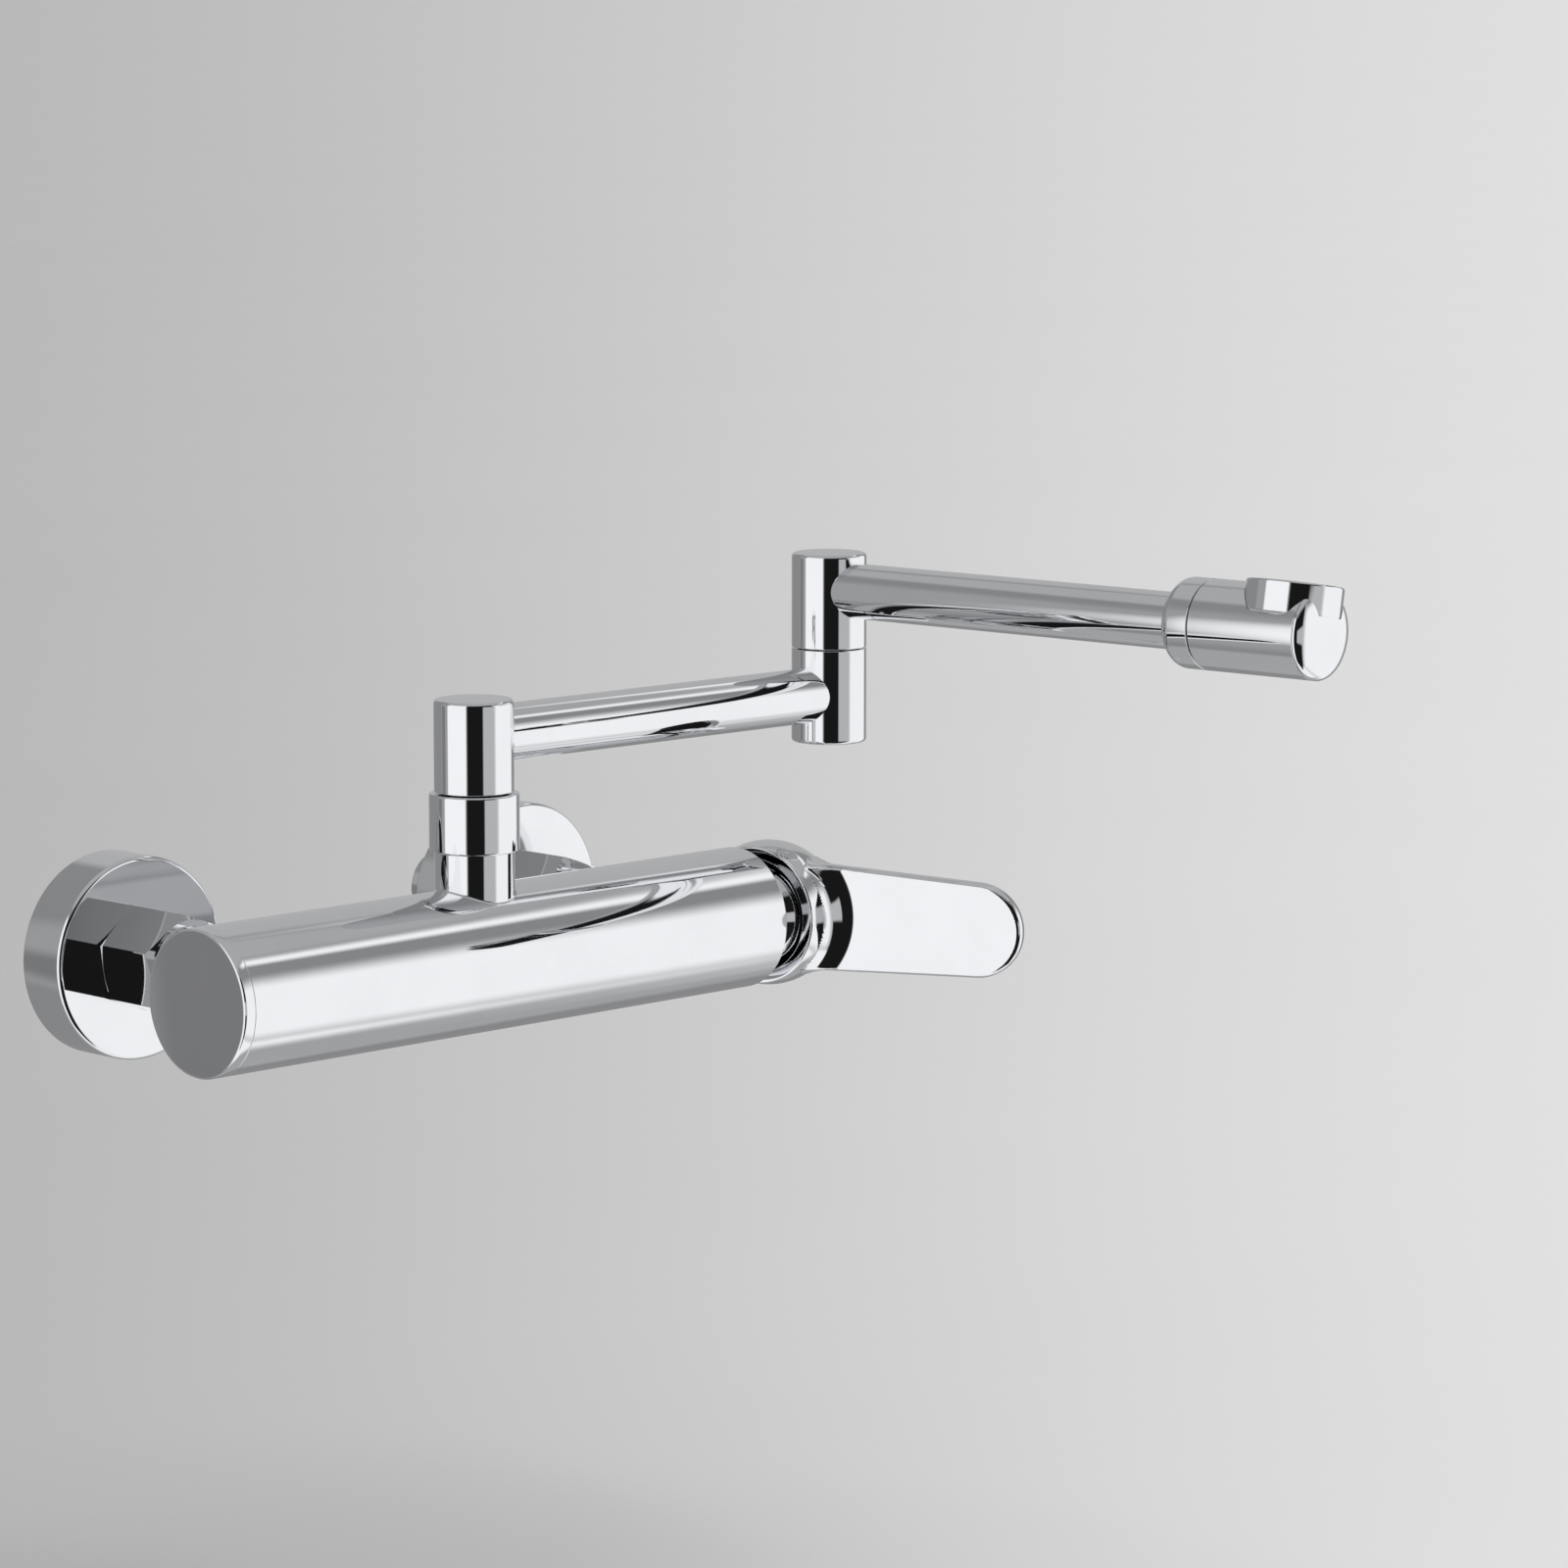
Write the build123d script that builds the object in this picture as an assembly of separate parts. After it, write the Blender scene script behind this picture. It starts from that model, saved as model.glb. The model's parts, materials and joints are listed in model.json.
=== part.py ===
from build123d import *
import math
import os

os.makedirs("parts", exist_ok=True)

# A wall-mounted kitchen mixer tap with a two-part folding spout.
# Millimetres. The origin lies on the wall, midway between the two inlets.
# +X runs along the wall to the lever, +Y into the wall, +Z up.

# Fits shared by the whole tap
FIT = 0.05
RUN = 0.08
SEAM = 0.3
OVERRUN = 1.0

# Wall inlets
INLET_SPACING = 150.0
STANDOFF = 85.8
STUD_R = 10.48
STUD_LENGTH = 25.0
STUD_CHAMFER = 1.0
WATER_R = 6.5
COLLAR_R = 13.5
COLLAR_LENGTH = 6.0
UNION_R = 11.9
UNION_END = 30.0
WASHER_THICKNESS = 2.0
NIPPLE_R = 8.9
NIPPLE_FLANGE_R = 11.6
NIPPLE_FLANGE = 3.0
NIPPLE_LENGTH = 20.0
NUT_FLATS = 28.0
NUT_LIP = 4.0
NUT_CHAMFER = 1.6
NUT_TURN = -20.0
STRAINER_THICKNESS = 0.6
STRAINER_HOLE_R = 0.6
STRAINER_PITCH = 2.0
STRAINER_RINGS = 2

# Escutcheons
ESC_R = 29.8
ESC_DEPTH = 16.8
ESC_WALL = 1.4
ESC_EDGE = 1.0

# Mixer body, a hollow casting along X
BODY_R = 21.2
LEFT_REACH = 32.0
RIGHT_REACH = 24.2
BODY_LEFT = -INLET_SPACING / 2 - LEFT_REACH
BODY_RIGHT = INLET_SPACING / 2 + RIGHT_REACH
BODY_WALL = 3.7
BODY_EDGE = 0.6
INLET_BOSS_R = 12.0
INLET_BOSS_GAP = 0.6
HOT_CHAMBER = 52.0
CHAMBER_DIVIDER = 10.0
COLD_INLET_ROOM = 13.0
PARTITION = 3.0
PORT_R = 4.5

# Left end cap
CAP_FACE = 3.8
CAP_PLUG = 10.0
CAP_CHAMFER = 0.9
CAP_SEAL_R = 1.2
CAP_SEAL_AT = 5.0

# Spout socket, collar nut and post
SPOUT_X = -7.2
BOSS_R = 11.6
COLLAR_NUT_R = 13.1
COLLAR_NUT_BOTTOM = 31.9
COLLAR_NUT_TOP = 48.8
COLLAR_NUT_EDGE = 0.7
COLLAR_NUT_LIP = 2.6
BOSS_THREAD_R = 11.0
POST_R = 11.6
POST_TOP = 75.9
POST_EDGE = 1.2
SPIGOT_R = 8.2
SPIGOT_BORE_R = 5.5
SOCKET_R = 9.45
SOCKET_FLOOR = 24.5
SLEEVE_LENGTH = 10.0
ORING_R = 1.15
ORING_PITCH = 4.5
GROOVE_WIDTH = 2.5
GROOVE_DEPTH = 1.2
CLIP_R = 10.3
CLIP_THICKNESS = 1.4
CLIP_GROOVE = 1.0
CLIP_GAP = 3.0

# First arm, beside the wall
ARM_R = 8.35
ARM_BORE_R = 6.6
ARM1_Z = 65.1
ARM1_LENGTH = 142.3
ARM1_TURN = -1.1
ARM2_TURN = -85.4

# Elbow between the arms
ELBOW_R = 11.4
ELBOW_BOTTOM = 50.5
ELBOW_SEAM = 79.3
ELBOW_TOP = 108.1
ELBOW_EDGE = 1.2
ELBOW_PLUG = 2.5
ELBOW_CLIP_ROOM = 4.2
ELBOW_CLIP_R = 10.2
ELBOW_WAIST_R = 6.9
ELBOW_WAIST = 9.0
ELBOW_PORT_R = 3.6

# Second arm, reaching out over the sink
ARM2_Z = 97.0

# Turning outlet head on the end of the second arm
HEAD_R = 13.3
HEAD_SEAM = 144.5
HEAD_RING = 10.6
HEAD_BARREL = 36.9
HEAD_BACK = HEAD_SEAM - HEAD_RING
HEAD_END = HEAD_SEAM + HEAD_BARREL
HEAD_SHOULDER = 3.6
HEAD_EDGE = 0.6
HEAD_SPIGOT = 12.0
HEAD_SOCKET = 12.4
HEAD_FEED_R = 4.4
AERATOR_FEED_R = 3.8
HEAD_TURN = -10.0
DOME_RISE = 3.8
DOME_PLUG = 3.0
DOME_PLUG_R = 8.0
GRUB_R = 1.5
GRUB_AT = 7.0
GRUB_TRACK = 1.0

# Aerator, screwed into the side of the head
AERATOR_FROM_END = 9.9
AERATOR_AT = HEAD_END - AERATOR_FROM_END
AERATOR_R = 14.1
AERATOR_SEAT = 5.0
AERATOR_TOP = 14.0
AERATOR_EDGE = 0.7
INSERT_R = 11.2
INSERT_RECESS = 0.8
INSERT_HOLE_R = 0.8
INSERT_PITCH = 2.6
INSERT_RINGS = 3
AERATOR_WASHER = 1.6
AERATOR_WASHER_BORE = 8.0

# Ceramic disc cartridge in the right end of the body
CART_DEPTH = 16.2
CART_FLOOR = BODY_RIGHT - CART_DEPTH
CART_RIM = 3.9
CART_R = BODY_R - CART_RIM
CART_WALL = 2.0
CART_NECK = 1.4
CART_NECK_R = CART_R - CART_NECK
CART_BASE = 4.0
FIXED_DISC = 2.5
DISC_RIM = 2.3
FIXED_DISC_R = CART_R - DISC_RIM
PORT_RIM = 3.8
PORT_OFFSET = FIXED_DISC_R - PORT_RIM
COLD_PORT_RIM = 6.5
COLD_PORT_OFFSET = FIXED_DISC_R - COLD_PORT_RIM
MOVING_DISC = 4.4
MOVING_DISC_R = 6.6
DISC_GAP = 0.1
DRIVER_GAP = 0.3
DRIVER_PLATE = 1.4
PLATE_RIM = 3.1
DRIVER_PLATE_R = CART_R - PLATE_RIM
TURRET_R = 7.8
TURRET_TOP = 3.5
CART_LID = 1.6
CART_BARREL = 10.0
CART_SHOULDER = CART_FLOOR + CART_BARREL
SEAL_SECTION = 0.9
SEAL_HEIGHT = 1.5
CART_NUT = 4.5
CART_NUT_END = CART_SHOULDER + CART_NUT

# Dome cover between the body and the lever
FLANGE_RIM = 2.7
DOME_FLANGE_R = BODY_R - FLANGE_RIM
DOME_R = 16.5
DOME_NECK_R = 11.0
DOME_WALL = 1.2
DOME_OPENING = 58.0

# Lever: its stem, pinned in the cartridge, and its ball-shaped hub
PIVOT_REACH = 12.8
PIVOT_X = BODY_RIGHT + PIVOT_REACH
MIX_TURN = 2.0
LEVER_OPEN = 11.0
LEVER_SWING = 12.5
STEM_WIDTH = 7.0
STEM_BELOW = 5.0
STEM_TOP = 15.0
STEM_ARM = 19.4
STEM_ARM_R = 1.8
STEM_BALL_R = 2.2
STEM_GAP = 0.4
PIN_R = 1.5
HUB_R = 22.0
HUB_BACK = 7.4
HUB_EDGE = 0.5
HUB_CLEARANCE = 0.8
HUB_CAVITY_R = DOME_R + HUB_CLEARANCE
HUB_BOSS_R = 7.0
HUB_BOSS_START = 8.0
GRUB_SCREW_R = 2.4
GRUB_SCREW_LENGTH = 5.0
GRUB_SCREW_AT = 11.8
CAP_PLUG_LENGTH = 2.6

# Paddle of the lever, standing out from the side of the hub
PADDLE_ANGLE = 74.0
PADDLE_START = 14.0
PADDLE_TIP = 80.3
PADDLE_ROOT_WIDTH = 33.0
PADDLE_TIP_WIDTH = 27.8
PADDLE_THICKNESS = 5.0
PADDLE_EDGE = 1.7
PADDLE_BITE = 2.0

BOTTOM = (Align.CENTER, Align.CENTER, Align.MIN)
HALF_TURN = 180
QUARTER_TURN = 90
HEX_SIDES = 6


def rod(radius, start, end):
    return Pos(0, 0, start) * Cylinder(radius, end - start, align=BOTTOM)


def ring(outer, inner, start, end):
    return rod(outer, start, end) - rod(inner, start - OVERRUN, end + OVERRUN)


def oring(radius, section, height):
    return Pos(0, 0, height) * Torus(radius, section)


def end_edges(shape, top):
    faces = shape.faces().sort_by(Axis.Z)
    return (faces[-1] if top else faces[0]).edges()


def holes(radius, pitch, rings, start, end):
    found = rod(radius, start, end)
    for index in range(1, rings + 1):
        found += PolarLocations(index * pitch, HEX_SIDES * index) * rod(radius, start, end)
    return found


def write(name, *shapes):
    solids = [solid for shape in shapes for solid in shape.solids()]
    whole = solids[0] if len(solids) == 1 else Compound(solids)
    whole.label = name
    export_step(whole, f"parts/{name}.step")


# Frames of the fixed and moving groups
inlets = [Pos(side * INLET_SPACING / 2, 0, 0) * Rot(QUARTER_TURN, 0, 0) for side in (-1, 1)]
body_axis = Pos(0, -STANDOFF, 0) * Rot(0, QUARTER_TURN, 0)
spout_axis = Pos(SPOUT_X, -STANDOFF, 0)
arm1 = spout_axis * Rot(0, 0, ARM1_TURN)
elbow_axis = arm1 * Pos(ARM1_LENGTH, 0, 0) * Rot(0, 0, ARM2_TURN - ARM1_TURN)
arm1_axis = arm1 * Pos(0, 0, ARM1_Z) * Rot(0, QUARTER_TURN, 0)
arm2_axis = elbow_axis * Pos(0, 0, ARM2_Z) * Rot(0, QUARTER_TURN, 0)
head_frame = elbow_axis * Pos(0, 0, ARM2_Z) * Rot(HEAD_TURN, 0, 0)
head_axis = head_frame * Rot(0, QUARTER_TURN, 0)
aerator_axis = head_frame * Pos(AERATOR_AT, 0, 0)
cartridge = Pos(0, -STANDOFF, 0) * Rot(MIX_TURN, 0, 0)
lever = Pos(PIVOT_X, -STANDOFF, 0) * Rot(MIX_TURN, 0, 0) * Rot(0, 0, LEVER_OPEN)

# Inlet unions, screwed into the wall pipes
washer_end = UNION_END + WASHER_THICKNESS
flange_end = washer_end + NIPPLE_FLANGE
nut_end = flange_end + NUT_LIP
stud = chamfer(end_edges(rod(STUD_R, -STUD_LENGTH, 0), False), STUD_CHAMFER)
union = stud + rod(COLLAR_R, 0, COLLAR_LENGTH) + rod(UNION_R, COLLAR_LENGTH, UNION_END)
union -= rod(WATER_R, -STUD_LENGTH - OVERRUN, UNION_END + OVERRUN)
write("inlet_unions", *[place * union for place in inlets])

# Escutcheons, open cups that hide the pipe holes in the wall
cup = fillet(end_edges(rod(ESC_R, 0, ESC_DEPTH), True), ESC_EDGE)
cup -= rod(ESC_R - ESC_WALL, -OVERRUN, ESC_DEPTH - ESC_WALL)
cup -= rod(UNION_R + FIT, 0, ESC_DEPTH + OVERRUN)
write("escutcheon_left", inlets[0] * cup)
write("escutcheon_right", inlets[1] * cup)

# Union nuts, pulling the nipples onto the unions
nut_corner = NUT_FLATS / 2 / math.cos(math.pi / HEX_SIDES)
hexagon = RegularPolygon(NUT_FLATS / 2, HEX_SIDES, major_radius=False, rotation=NUT_TURN)
nut = Pos(0, 0, ESC_DEPTH) * extrude(hexagon, nut_end - ESC_DEPTH)
blank = chamfer(rod(nut_corner, ESC_DEPTH, nut_end).edges().filter_by(GeomType.CIRCLE), NUT_CHAMFER)
nut = nut & blank
nut -= rod(UNION_R + FIT, ESC_DEPTH - OVERRUN, flange_end)
nut -= rod(NIPPLE_R + FIT, flange_end, nut_end + OVERRUN)
write("union_nuts", *[place * nut for place in inlets])

# Sealing washers and strainers between union and nipple
washer = ring(NIPPLE_FLANGE_R, WATER_R, UNION_END, washer_end)
write("inlet_washers", *[place * washer for place in inlets])
strainer = rod(WATER_R - FIT, UNION_END, UNION_END + STRAINER_THICKNESS)
strainer -= holes(
    STRAINER_HOLE_R, STRAINER_PITCH, STRAINER_RINGS,
    UNION_END - OVERRUN, UNION_END + STRAINER_THICKNESS + OVERRUN,
)
write("inlet_strainers", *[place * strainer for place in inlets])

# Nipples, flanged tubes screwed into the body's inlet bosses
nipple_end = flange_end + NIPPLE_LENGTH
nipple = rod(NIPPLE_FLANGE_R, washer_end, flange_end) + rod(NIPPLE_R, flange_end, nipple_end)
nipple -= rod(WATER_R, washer_end - OVERRUN, nipple_end + OVERRUN)
write("inlet_nipples", *[place * nipple for place in inlets])

# Mixer body casting
bore_r = BODY_R - BODY_WALL
hot_chamber_end = BODY_LEFT + HOT_CHAMBER
mix_chamber_start = hot_chamber_end + CHAMBER_DIVIDER
chamber_end = INLET_SPACING / 2 - COLD_INLET_ROOM
body = fillet(end_edges(rod(BODY_R, BODY_LEFT, BODY_RIGHT), True), BODY_EDGE)
body = body_axis * body
for place in inlets:
    body += place * rod(INLET_BOSS_R, nut_end + INLET_BOSS_GAP, STANDOFF)
body += spout_axis * rod(BOSS_R, 0, COLLAR_NUT_BOTTOM)
clip_floor = COLLAR_NUT_TOP - COLLAR_NUT_LIP - CLIP_GAP
body += spout_axis * rod(BOSS_THREAD_R, COLLAR_NUT_BOTTOM, clip_floor)

body -= body_axis * rod(bore_r, BODY_LEFT - OVERRUN, hot_chamber_end)
half = Box(2 * BODY_R, 2 * BODY_R, 2 * BODY_R + INLET_SPACING, align=(Align.MIN, Align.CENTER, Align.CENTER))
lower_half = Pos(PARTITION / 2, 0, 0) * half
upper_half = Rot(0, 0, HALF_TURN) * lower_half
body -= body_axis * (rod(bore_r, hot_chamber_end, chamber_end) & lower_half)
body -= body_axis * (rod(bore_r, mix_chamber_start, chamber_end) & upper_half)
for side in (-1, 1):
    body -= body_axis * Pos(side * PORT_OFFSET, 0, 0) * rod(PORT_R, chamber_end - OVERRUN, CART_FLOOR)
body -= body_axis * Pos(0, COLD_PORT_OFFSET, 0) * rod(PORT_R, INLET_SPACING / 2, CART_FLOOR)
body -= inlets[0] * rod(WATER_R, nut_end, STANDOFF)
body -= inlets[1] * rod(PORT_R, nut_end, STANDOFF - COLD_PORT_OFFSET)
for place in inlets:
    body -= place * rod(NIPPLE_R + FIT, nut_end, nipple_end)
chamber_r = CART_R + FIT
body -= body_axis * rod(chamber_r, CART_FLOOR, BODY_RIGHT + OVERRUN)
body -= body_axis * rod(DOME_FLANGE_R + FIT, CART_NUT_END, BODY_RIGHT + OVERRUN)
body -= spout_axis * rod(SOCKET_R, SOCKET_FLOOR, COLLAR_NUT_TOP)
body -= spout_axis * rod(WATER_R, PARTITION, SOCKET_FLOOR)
write("mixer_body", body)

# End cap that closes the body on the left, with its sealing ring
cap = rod(BODY_R, BODY_LEFT - CAP_FACE, BODY_LEFT)
cap = chamfer(end_edges(cap, False), CAP_CHAMFER)
plug_end = BODY_LEFT + CAP_PLUG
cap += rod(bore_r - FIT, BODY_LEFT, plug_end) - rod(bore_r - BODY_WALL, BODY_LEFT, plug_end + OVERRUN)
seal_middle = BODY_LEFT + CAP_SEAL_AT
cap -= ring(BODY_R, bore_r - 2 * CAP_SEAL_R, seal_middle - CAP_SEAL_R - FIT, seal_middle + CAP_SEAL_R + FIT)
write("end_cap", body_axis * cap)
write("end_cap_seal", body_axis * oring(bore_r - CAP_SEAL_R - FIT / 2, CAP_SEAL_R - FIT / 2, seal_middle))

# Collar nut that holds the spout down in its socket
collar = rod(COLLAR_NUT_R, COLLAR_NUT_BOTTOM, COLLAR_NUT_TOP)
collar = fillet(collar.edges().filter_by(GeomType.CIRCLE), COLLAR_NUT_EDGE)
lip_bottom = COLLAR_NUT_TOP - COLLAR_NUT_LIP
collar -= rod(BOSS_THREAD_R + FIT, COLLAR_NUT_BOTTOM - OVERRUN, lip_bottom)
collar -= rod(SPIGOT_R + RUN, lip_bottom, COLLAR_NUT_TOP + OVERRUN)
write("spout_collar_nut", spout_axis * collar)

# Swivel sleeve, a plastic bearing pressed into the socket
sleeve_top = clip_floor
sleeve_bottom = sleeve_top - SLEEVE_LENGTH
sleeve = ring(SOCKET_R - FIT, SPIGOT_R + RUN, sleeve_bottom, sleeve_top)
write("spout_sleeve", spout_axis * sleeve)


def groove(height):
    half_width = GROOVE_WIDTH / 2
    return ring(SPIGOT_R + OVERRUN, SPIGOT_R - GROOVE_DEPTH, height - half_width, height + half_width)


def spigot_rings(heights):
    ring_r = SPIGOT_R - GROOVE_DEPTH + ORING_R + FIT
    return [oring(ring_r, ORING_R, height) for height in heights]


# Post, the upright that turns in the socket and carries the first arm
post_bottom = COLLAR_NUT_TOP + SEAM
post = rod(POST_R, post_bottom, POST_TOP)
post = fillet(end_edges(post, True), POST_EDGE)
spigot_end = SOCKET_FLOOR + SEAM
post += rod(SPIGOT_R, spigot_end, post_bottom)
post -= rod(SPIGOT_BORE_R, spigot_end - OVERRUN, ARM1_Z)
post_rings = [spigot_end + ORING_PITCH / 2, spigot_end + ORING_PITCH * 3 / 2]
for height in post_rings:
    post -= groove(height)
clip_top = lip_bottom - SEAM
clip_bottom = clip_top - CLIP_THICKNESS
post -= ring(POST_R, SPIGOT_R - CLIP_GROOVE, clip_bottom - FIT, clip_top + FIT)
post = arm1 * post
post -= arm1_axis * rod(SPIGOT_BORE_R, 0, POST_R + OVERRUN)
write("spout_post", post)
write("spout_seals", *[arm1 * piece for piece in spigot_rings(post_rings)])
write("spout_clip", arm1 * ring(CLIP_R, SPIGOT_R - CLIP_GROOVE + FIT, clip_bottom, clip_top))

# First arm tube, saddled onto the post and the elbow
tube1 = arm1_axis * ring(ARM_R, ARM_BORE_R, 0, ARM1_LENGTH)
tube1 -= arm1 * rod(POST_R, 0, POST_TOP + OVERRUN)
tube1 -= elbow_axis * rod(ELBOW_R, 0, ELBOW_SEAM)
write("inner_arm_tube", tube1)

# Lower half of the elbow, with the socket for the upper half
half_seam = SEAM / 2
lower = rod(ELBOW_R, ELBOW_BOTTOM, ELBOW_SEAM - half_seam)
lower = fillet(end_edges(lower, False), ELBOW_EDGE)
plug_top = ELBOW_BOTTOM + ELBOW_PLUG
clip_shelf = plug_top + ELBOW_CLIP_ROOM
plug_r = ELBOW_CLIP_R + FIT
lower -= rod(plug_r, ELBOW_BOTTOM - OVERRUN, clip_shelf)
lower -= rod(SOCKET_R, clip_shelf, ELBOW_SEAM + OVERRUN)
lower = elbow_axis * lower
lower -= arm1_axis * rod(SPIGOT_BORE_R, ARM1_LENGTH - ELBOW_R - OVERRUN, ARM1_LENGTH)
write("elbow_lower", lower)
write("elbow_plug", elbow_axis * rod(plug_r - FIT, ELBOW_BOTTOM, plug_top))

# Bearing sleeve of the elbow
bearing_top = ELBOW_SEAM - half_seam
bearing_bottom = bearing_top - NUT_LIP
bearing = ring(SOCKET_R - FIT, SPIGOT_R + RUN, bearing_bottom, bearing_top)
write("elbow_sleeve", elbow_axis * bearing)

# Upper half of the elbow, whose spigot turns in the lower half
upper = rod(ELBOW_R, ELBOW_SEAM + half_seam, ELBOW_TOP)
upper = fillet(end_edges(upper, True), ELBOW_EDGE)
tail = plug_top + SEAM
upper += rod(SPIGOT_R, tail, ELBOW_SEAM + half_seam)
waist_bottom = ARM1_Z - ELBOW_WAIST / 2
waist_top = ARM1_Z + ELBOW_WAIST / 2
upper -= ring(SPIGOT_R + OVERRUN, ELBOW_WAIST_R, waist_bottom, waist_top)
upper -= rod(SPIGOT_BORE_R, ARM1_Z - SPIGOT_BORE_R, ARM2_Z)
for turn in (0, QUARTER_TURN):
    port = Pos(0, 0, ARM1_Z) * Rot(0, QUARTER_TURN, turn) * rod(ELBOW_PORT_R, -ELBOW_R, ELBOW_R)
    upper -= port
elbow_rings = [waist_top + ORING_PITCH / 2, waist_bottom - GROOVE_WIDTH / 2 - ORING_R / 2]
for height in elbow_rings:
    upper -= groove(height)
elbow_clip_top = clip_shelf - SEAM
elbow_clip_bottom = elbow_clip_top - CLIP_THICKNESS
upper -= ring(ELBOW_R, SPIGOT_R - CLIP_GROOVE, elbow_clip_bottom - FIT, elbow_clip_top + FIT)
upper = elbow_axis * upper
upper -= arm2_axis * rod(SPIGOT_BORE_R, 0, ELBOW_R + OVERRUN)
write("elbow_upper", upper)
write("elbow_seals", *[elbow_axis * piece for piece in spigot_rings(elbow_rings)])
clip = ring(ELBOW_CLIP_R - SEAM, SPIGOT_R - CLIP_GROOVE + FIT, elbow_clip_bottom, elbow_clip_top)
write("elbow_clip", elbow_axis * clip)

# Second arm tube, from the elbow into the back of the head
tube2 = arm2_axis * ring(ARM_R, ARM_BORE_R, 0, HEAD_SEAM - HEAD_SHOULDER)
tube2 -= elbow_axis * rod(ELBOW_R, ELBOW_SEAM, ELBOW_TOP + OVERRUN)
write("outer_arm_tube", tube2)

# Back ring of the head, fixed on the arm, with the spigot that the head turns on
ring_end = HEAD_SEAM - half_seam
back = rod(HEAD_R, HEAD_BACK, ring_end)
back = fillet(end_edges(back, False), HEAD_SHOULDER)
back -= rod(ARM_R + FIT, HEAD_BACK - OVERRUN, HEAD_SEAM - HEAD_SHOULDER)
spigot_tip = ring_end + HEAD_SPIGOT
back += rod(SPIGOT_R, ring_end, spigot_tip)
back -= rod(SPIGOT_BORE_R, HEAD_BACK, spigot_tip + OVERRUN)
track = HEAD_SEAM + GRUB_AT
back -= ring(HEAD_R, SPIGOT_R - GRUB_TRACK, track - GRUB_R - SEAM, track + GRUB_R + SEAM)
head_rings = [HEAD_SEAM + ORING_PITCH * 2 / 3, spigot_tip - GROOVE_WIDTH / 2 - half_seam]
for height in head_rings:
    back -= groove(height)
write("head_back_ring", arm2_axis * back)
write("head_seals", *[arm2_axis * piece for piece in spigot_rings(head_rings)])

# Turning head, a short barrel with a seat for the aerator in its side
barrel = rod(HEAD_R, HEAD_SEAM + half_seam, HEAD_END)
barrel -= rod(SOCKET_R, HEAD_SEAM, HEAD_SEAM + HEAD_SOCKET)
barrel -= rod(HEAD_FEED_R, HEAD_SEAM, HEAD_END - DOME_PLUG)
barrel -= rod(DOME_PLUG_R + FIT, HEAD_END - DOME_PLUG, HEAD_END + OVERRUN)
barrel = head_axis * barrel
seat = aerator_axis * rod(AERATOR_R + FIT, AERATOR_SEAT, HEAD_R + OVERRUN)
barrel -= seat
barrel -= aerator_axis * rod(AERATOR_FEED_R, 0, AERATOR_SEAT + OVERRUN)
grub_hole = head_frame * Pos(track, 0, 0) * rod(GRUB_R + FIT, -HEAD_R - OVERRUN, 0)
barrel -= grub_hole
write("head_barrel", barrel)

# Domed cap on the end of the head
dome_r = (HEAD_R ** 2 + DOME_RISE ** 2) / (2 * DOME_RISE)
dome = Pos(0, 0, HEAD_END + DOME_RISE - dome_r) * Sphere(dome_r)
dome = dome & rod(HEAD_R, HEAD_END, HEAD_END + 2 * DOME_RISE)
dome += rod(DOME_PLUG_R, HEAD_END - DOME_PLUG, HEAD_END)
dome = head_axis * dome - seat
write("head_cap", dome)

# Grub screw that rides in the spigot's track and keeps the head on
grub = rod(GRUB_R, -HEAD_R + HEAD_EDGE, -SPIGOT_R + GRUB_TRACK - SEAM)
write("head_grub_screw", head_frame * Pos(track, 0, 0) * grub)

# Aerator housing, jet insert and washer
housing = rod(AERATOR_R, AERATOR_SEAT, AERATOR_TOP)
housing = chamfer(end_edges(housing, True), AERATOR_EDGE)
housing -= rod(INSERT_R + FIT, AERATOR_SEAT - OVERRUN, AERATOR_TOP + OVERRUN)
write("aerator_housing", aerator_axis * housing)
washer_top = AERATOR_SEAT + AERATOR_WASHER
gasket = ring(INSERT_R, AERATOR_WASHER_BORE, AERATOR_SEAT, washer_top)
write("aerator_washer", aerator_axis * gasket)
insert_top = AERATOR_TOP - INSERT_RECESS
insert = rod(INSERT_R, washer_top, insert_top)
insert -= holes(
    INSERT_HOLE_R, INSERT_PITCH, INSERT_RINGS, washer_top - OVERRUN, insert_top + OVERRUN,
)
write("aerator_insert", aerator_axis * insert)

# Cartridge base with its three ports, and the port seals
base_top = CART_FLOOR + CART_BASE
base = rod(CART_R, CART_FLOOR, base_top)
ports = [(-PORT_OFFSET, 0), (PORT_OFFSET, 0), (0, COLD_PORT_OFFSET)]
port_seals = []
for port_x, port_y in ports:
    at_port = Pos(port_x, port_y, 0)
    base -= at_port * rod(PORT_R - SEAL_SECTION, CART_FLOOR - OVERRUN, base_top + OVERRUN)
    base -= at_port * rod(PORT_R + SEAL_SECTION / 2 + FIT, CART_FLOOR - OVERRUN, CART_FLOOR + SEAL_HEIGHT)
    seal = ring(PORT_R + SEAL_SECTION / 2, PORT_R - SEAL_SECTION, CART_FLOOR, CART_FLOOR + SEAL_HEIGHT)
    port_seals.append(body_axis * at_port * seal)
write("cartridge_base", body_axis * base)
write("cartridge_seals", *port_seals)

# Fixed ceramic disc over the ports
disc_top = base_top + FIXED_DISC
fixed = rod(FIXED_DISC_R, base_top, disc_top)
for port_x, port_y in ports:
    fixed -= Pos(port_x, port_y, 0) * rod(PORT_R - SEAL_SECTION, base_top - OVERRUN, disc_top + OVERRUN)
write("fixed_ceramic_disc", body_axis * fixed)

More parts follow.
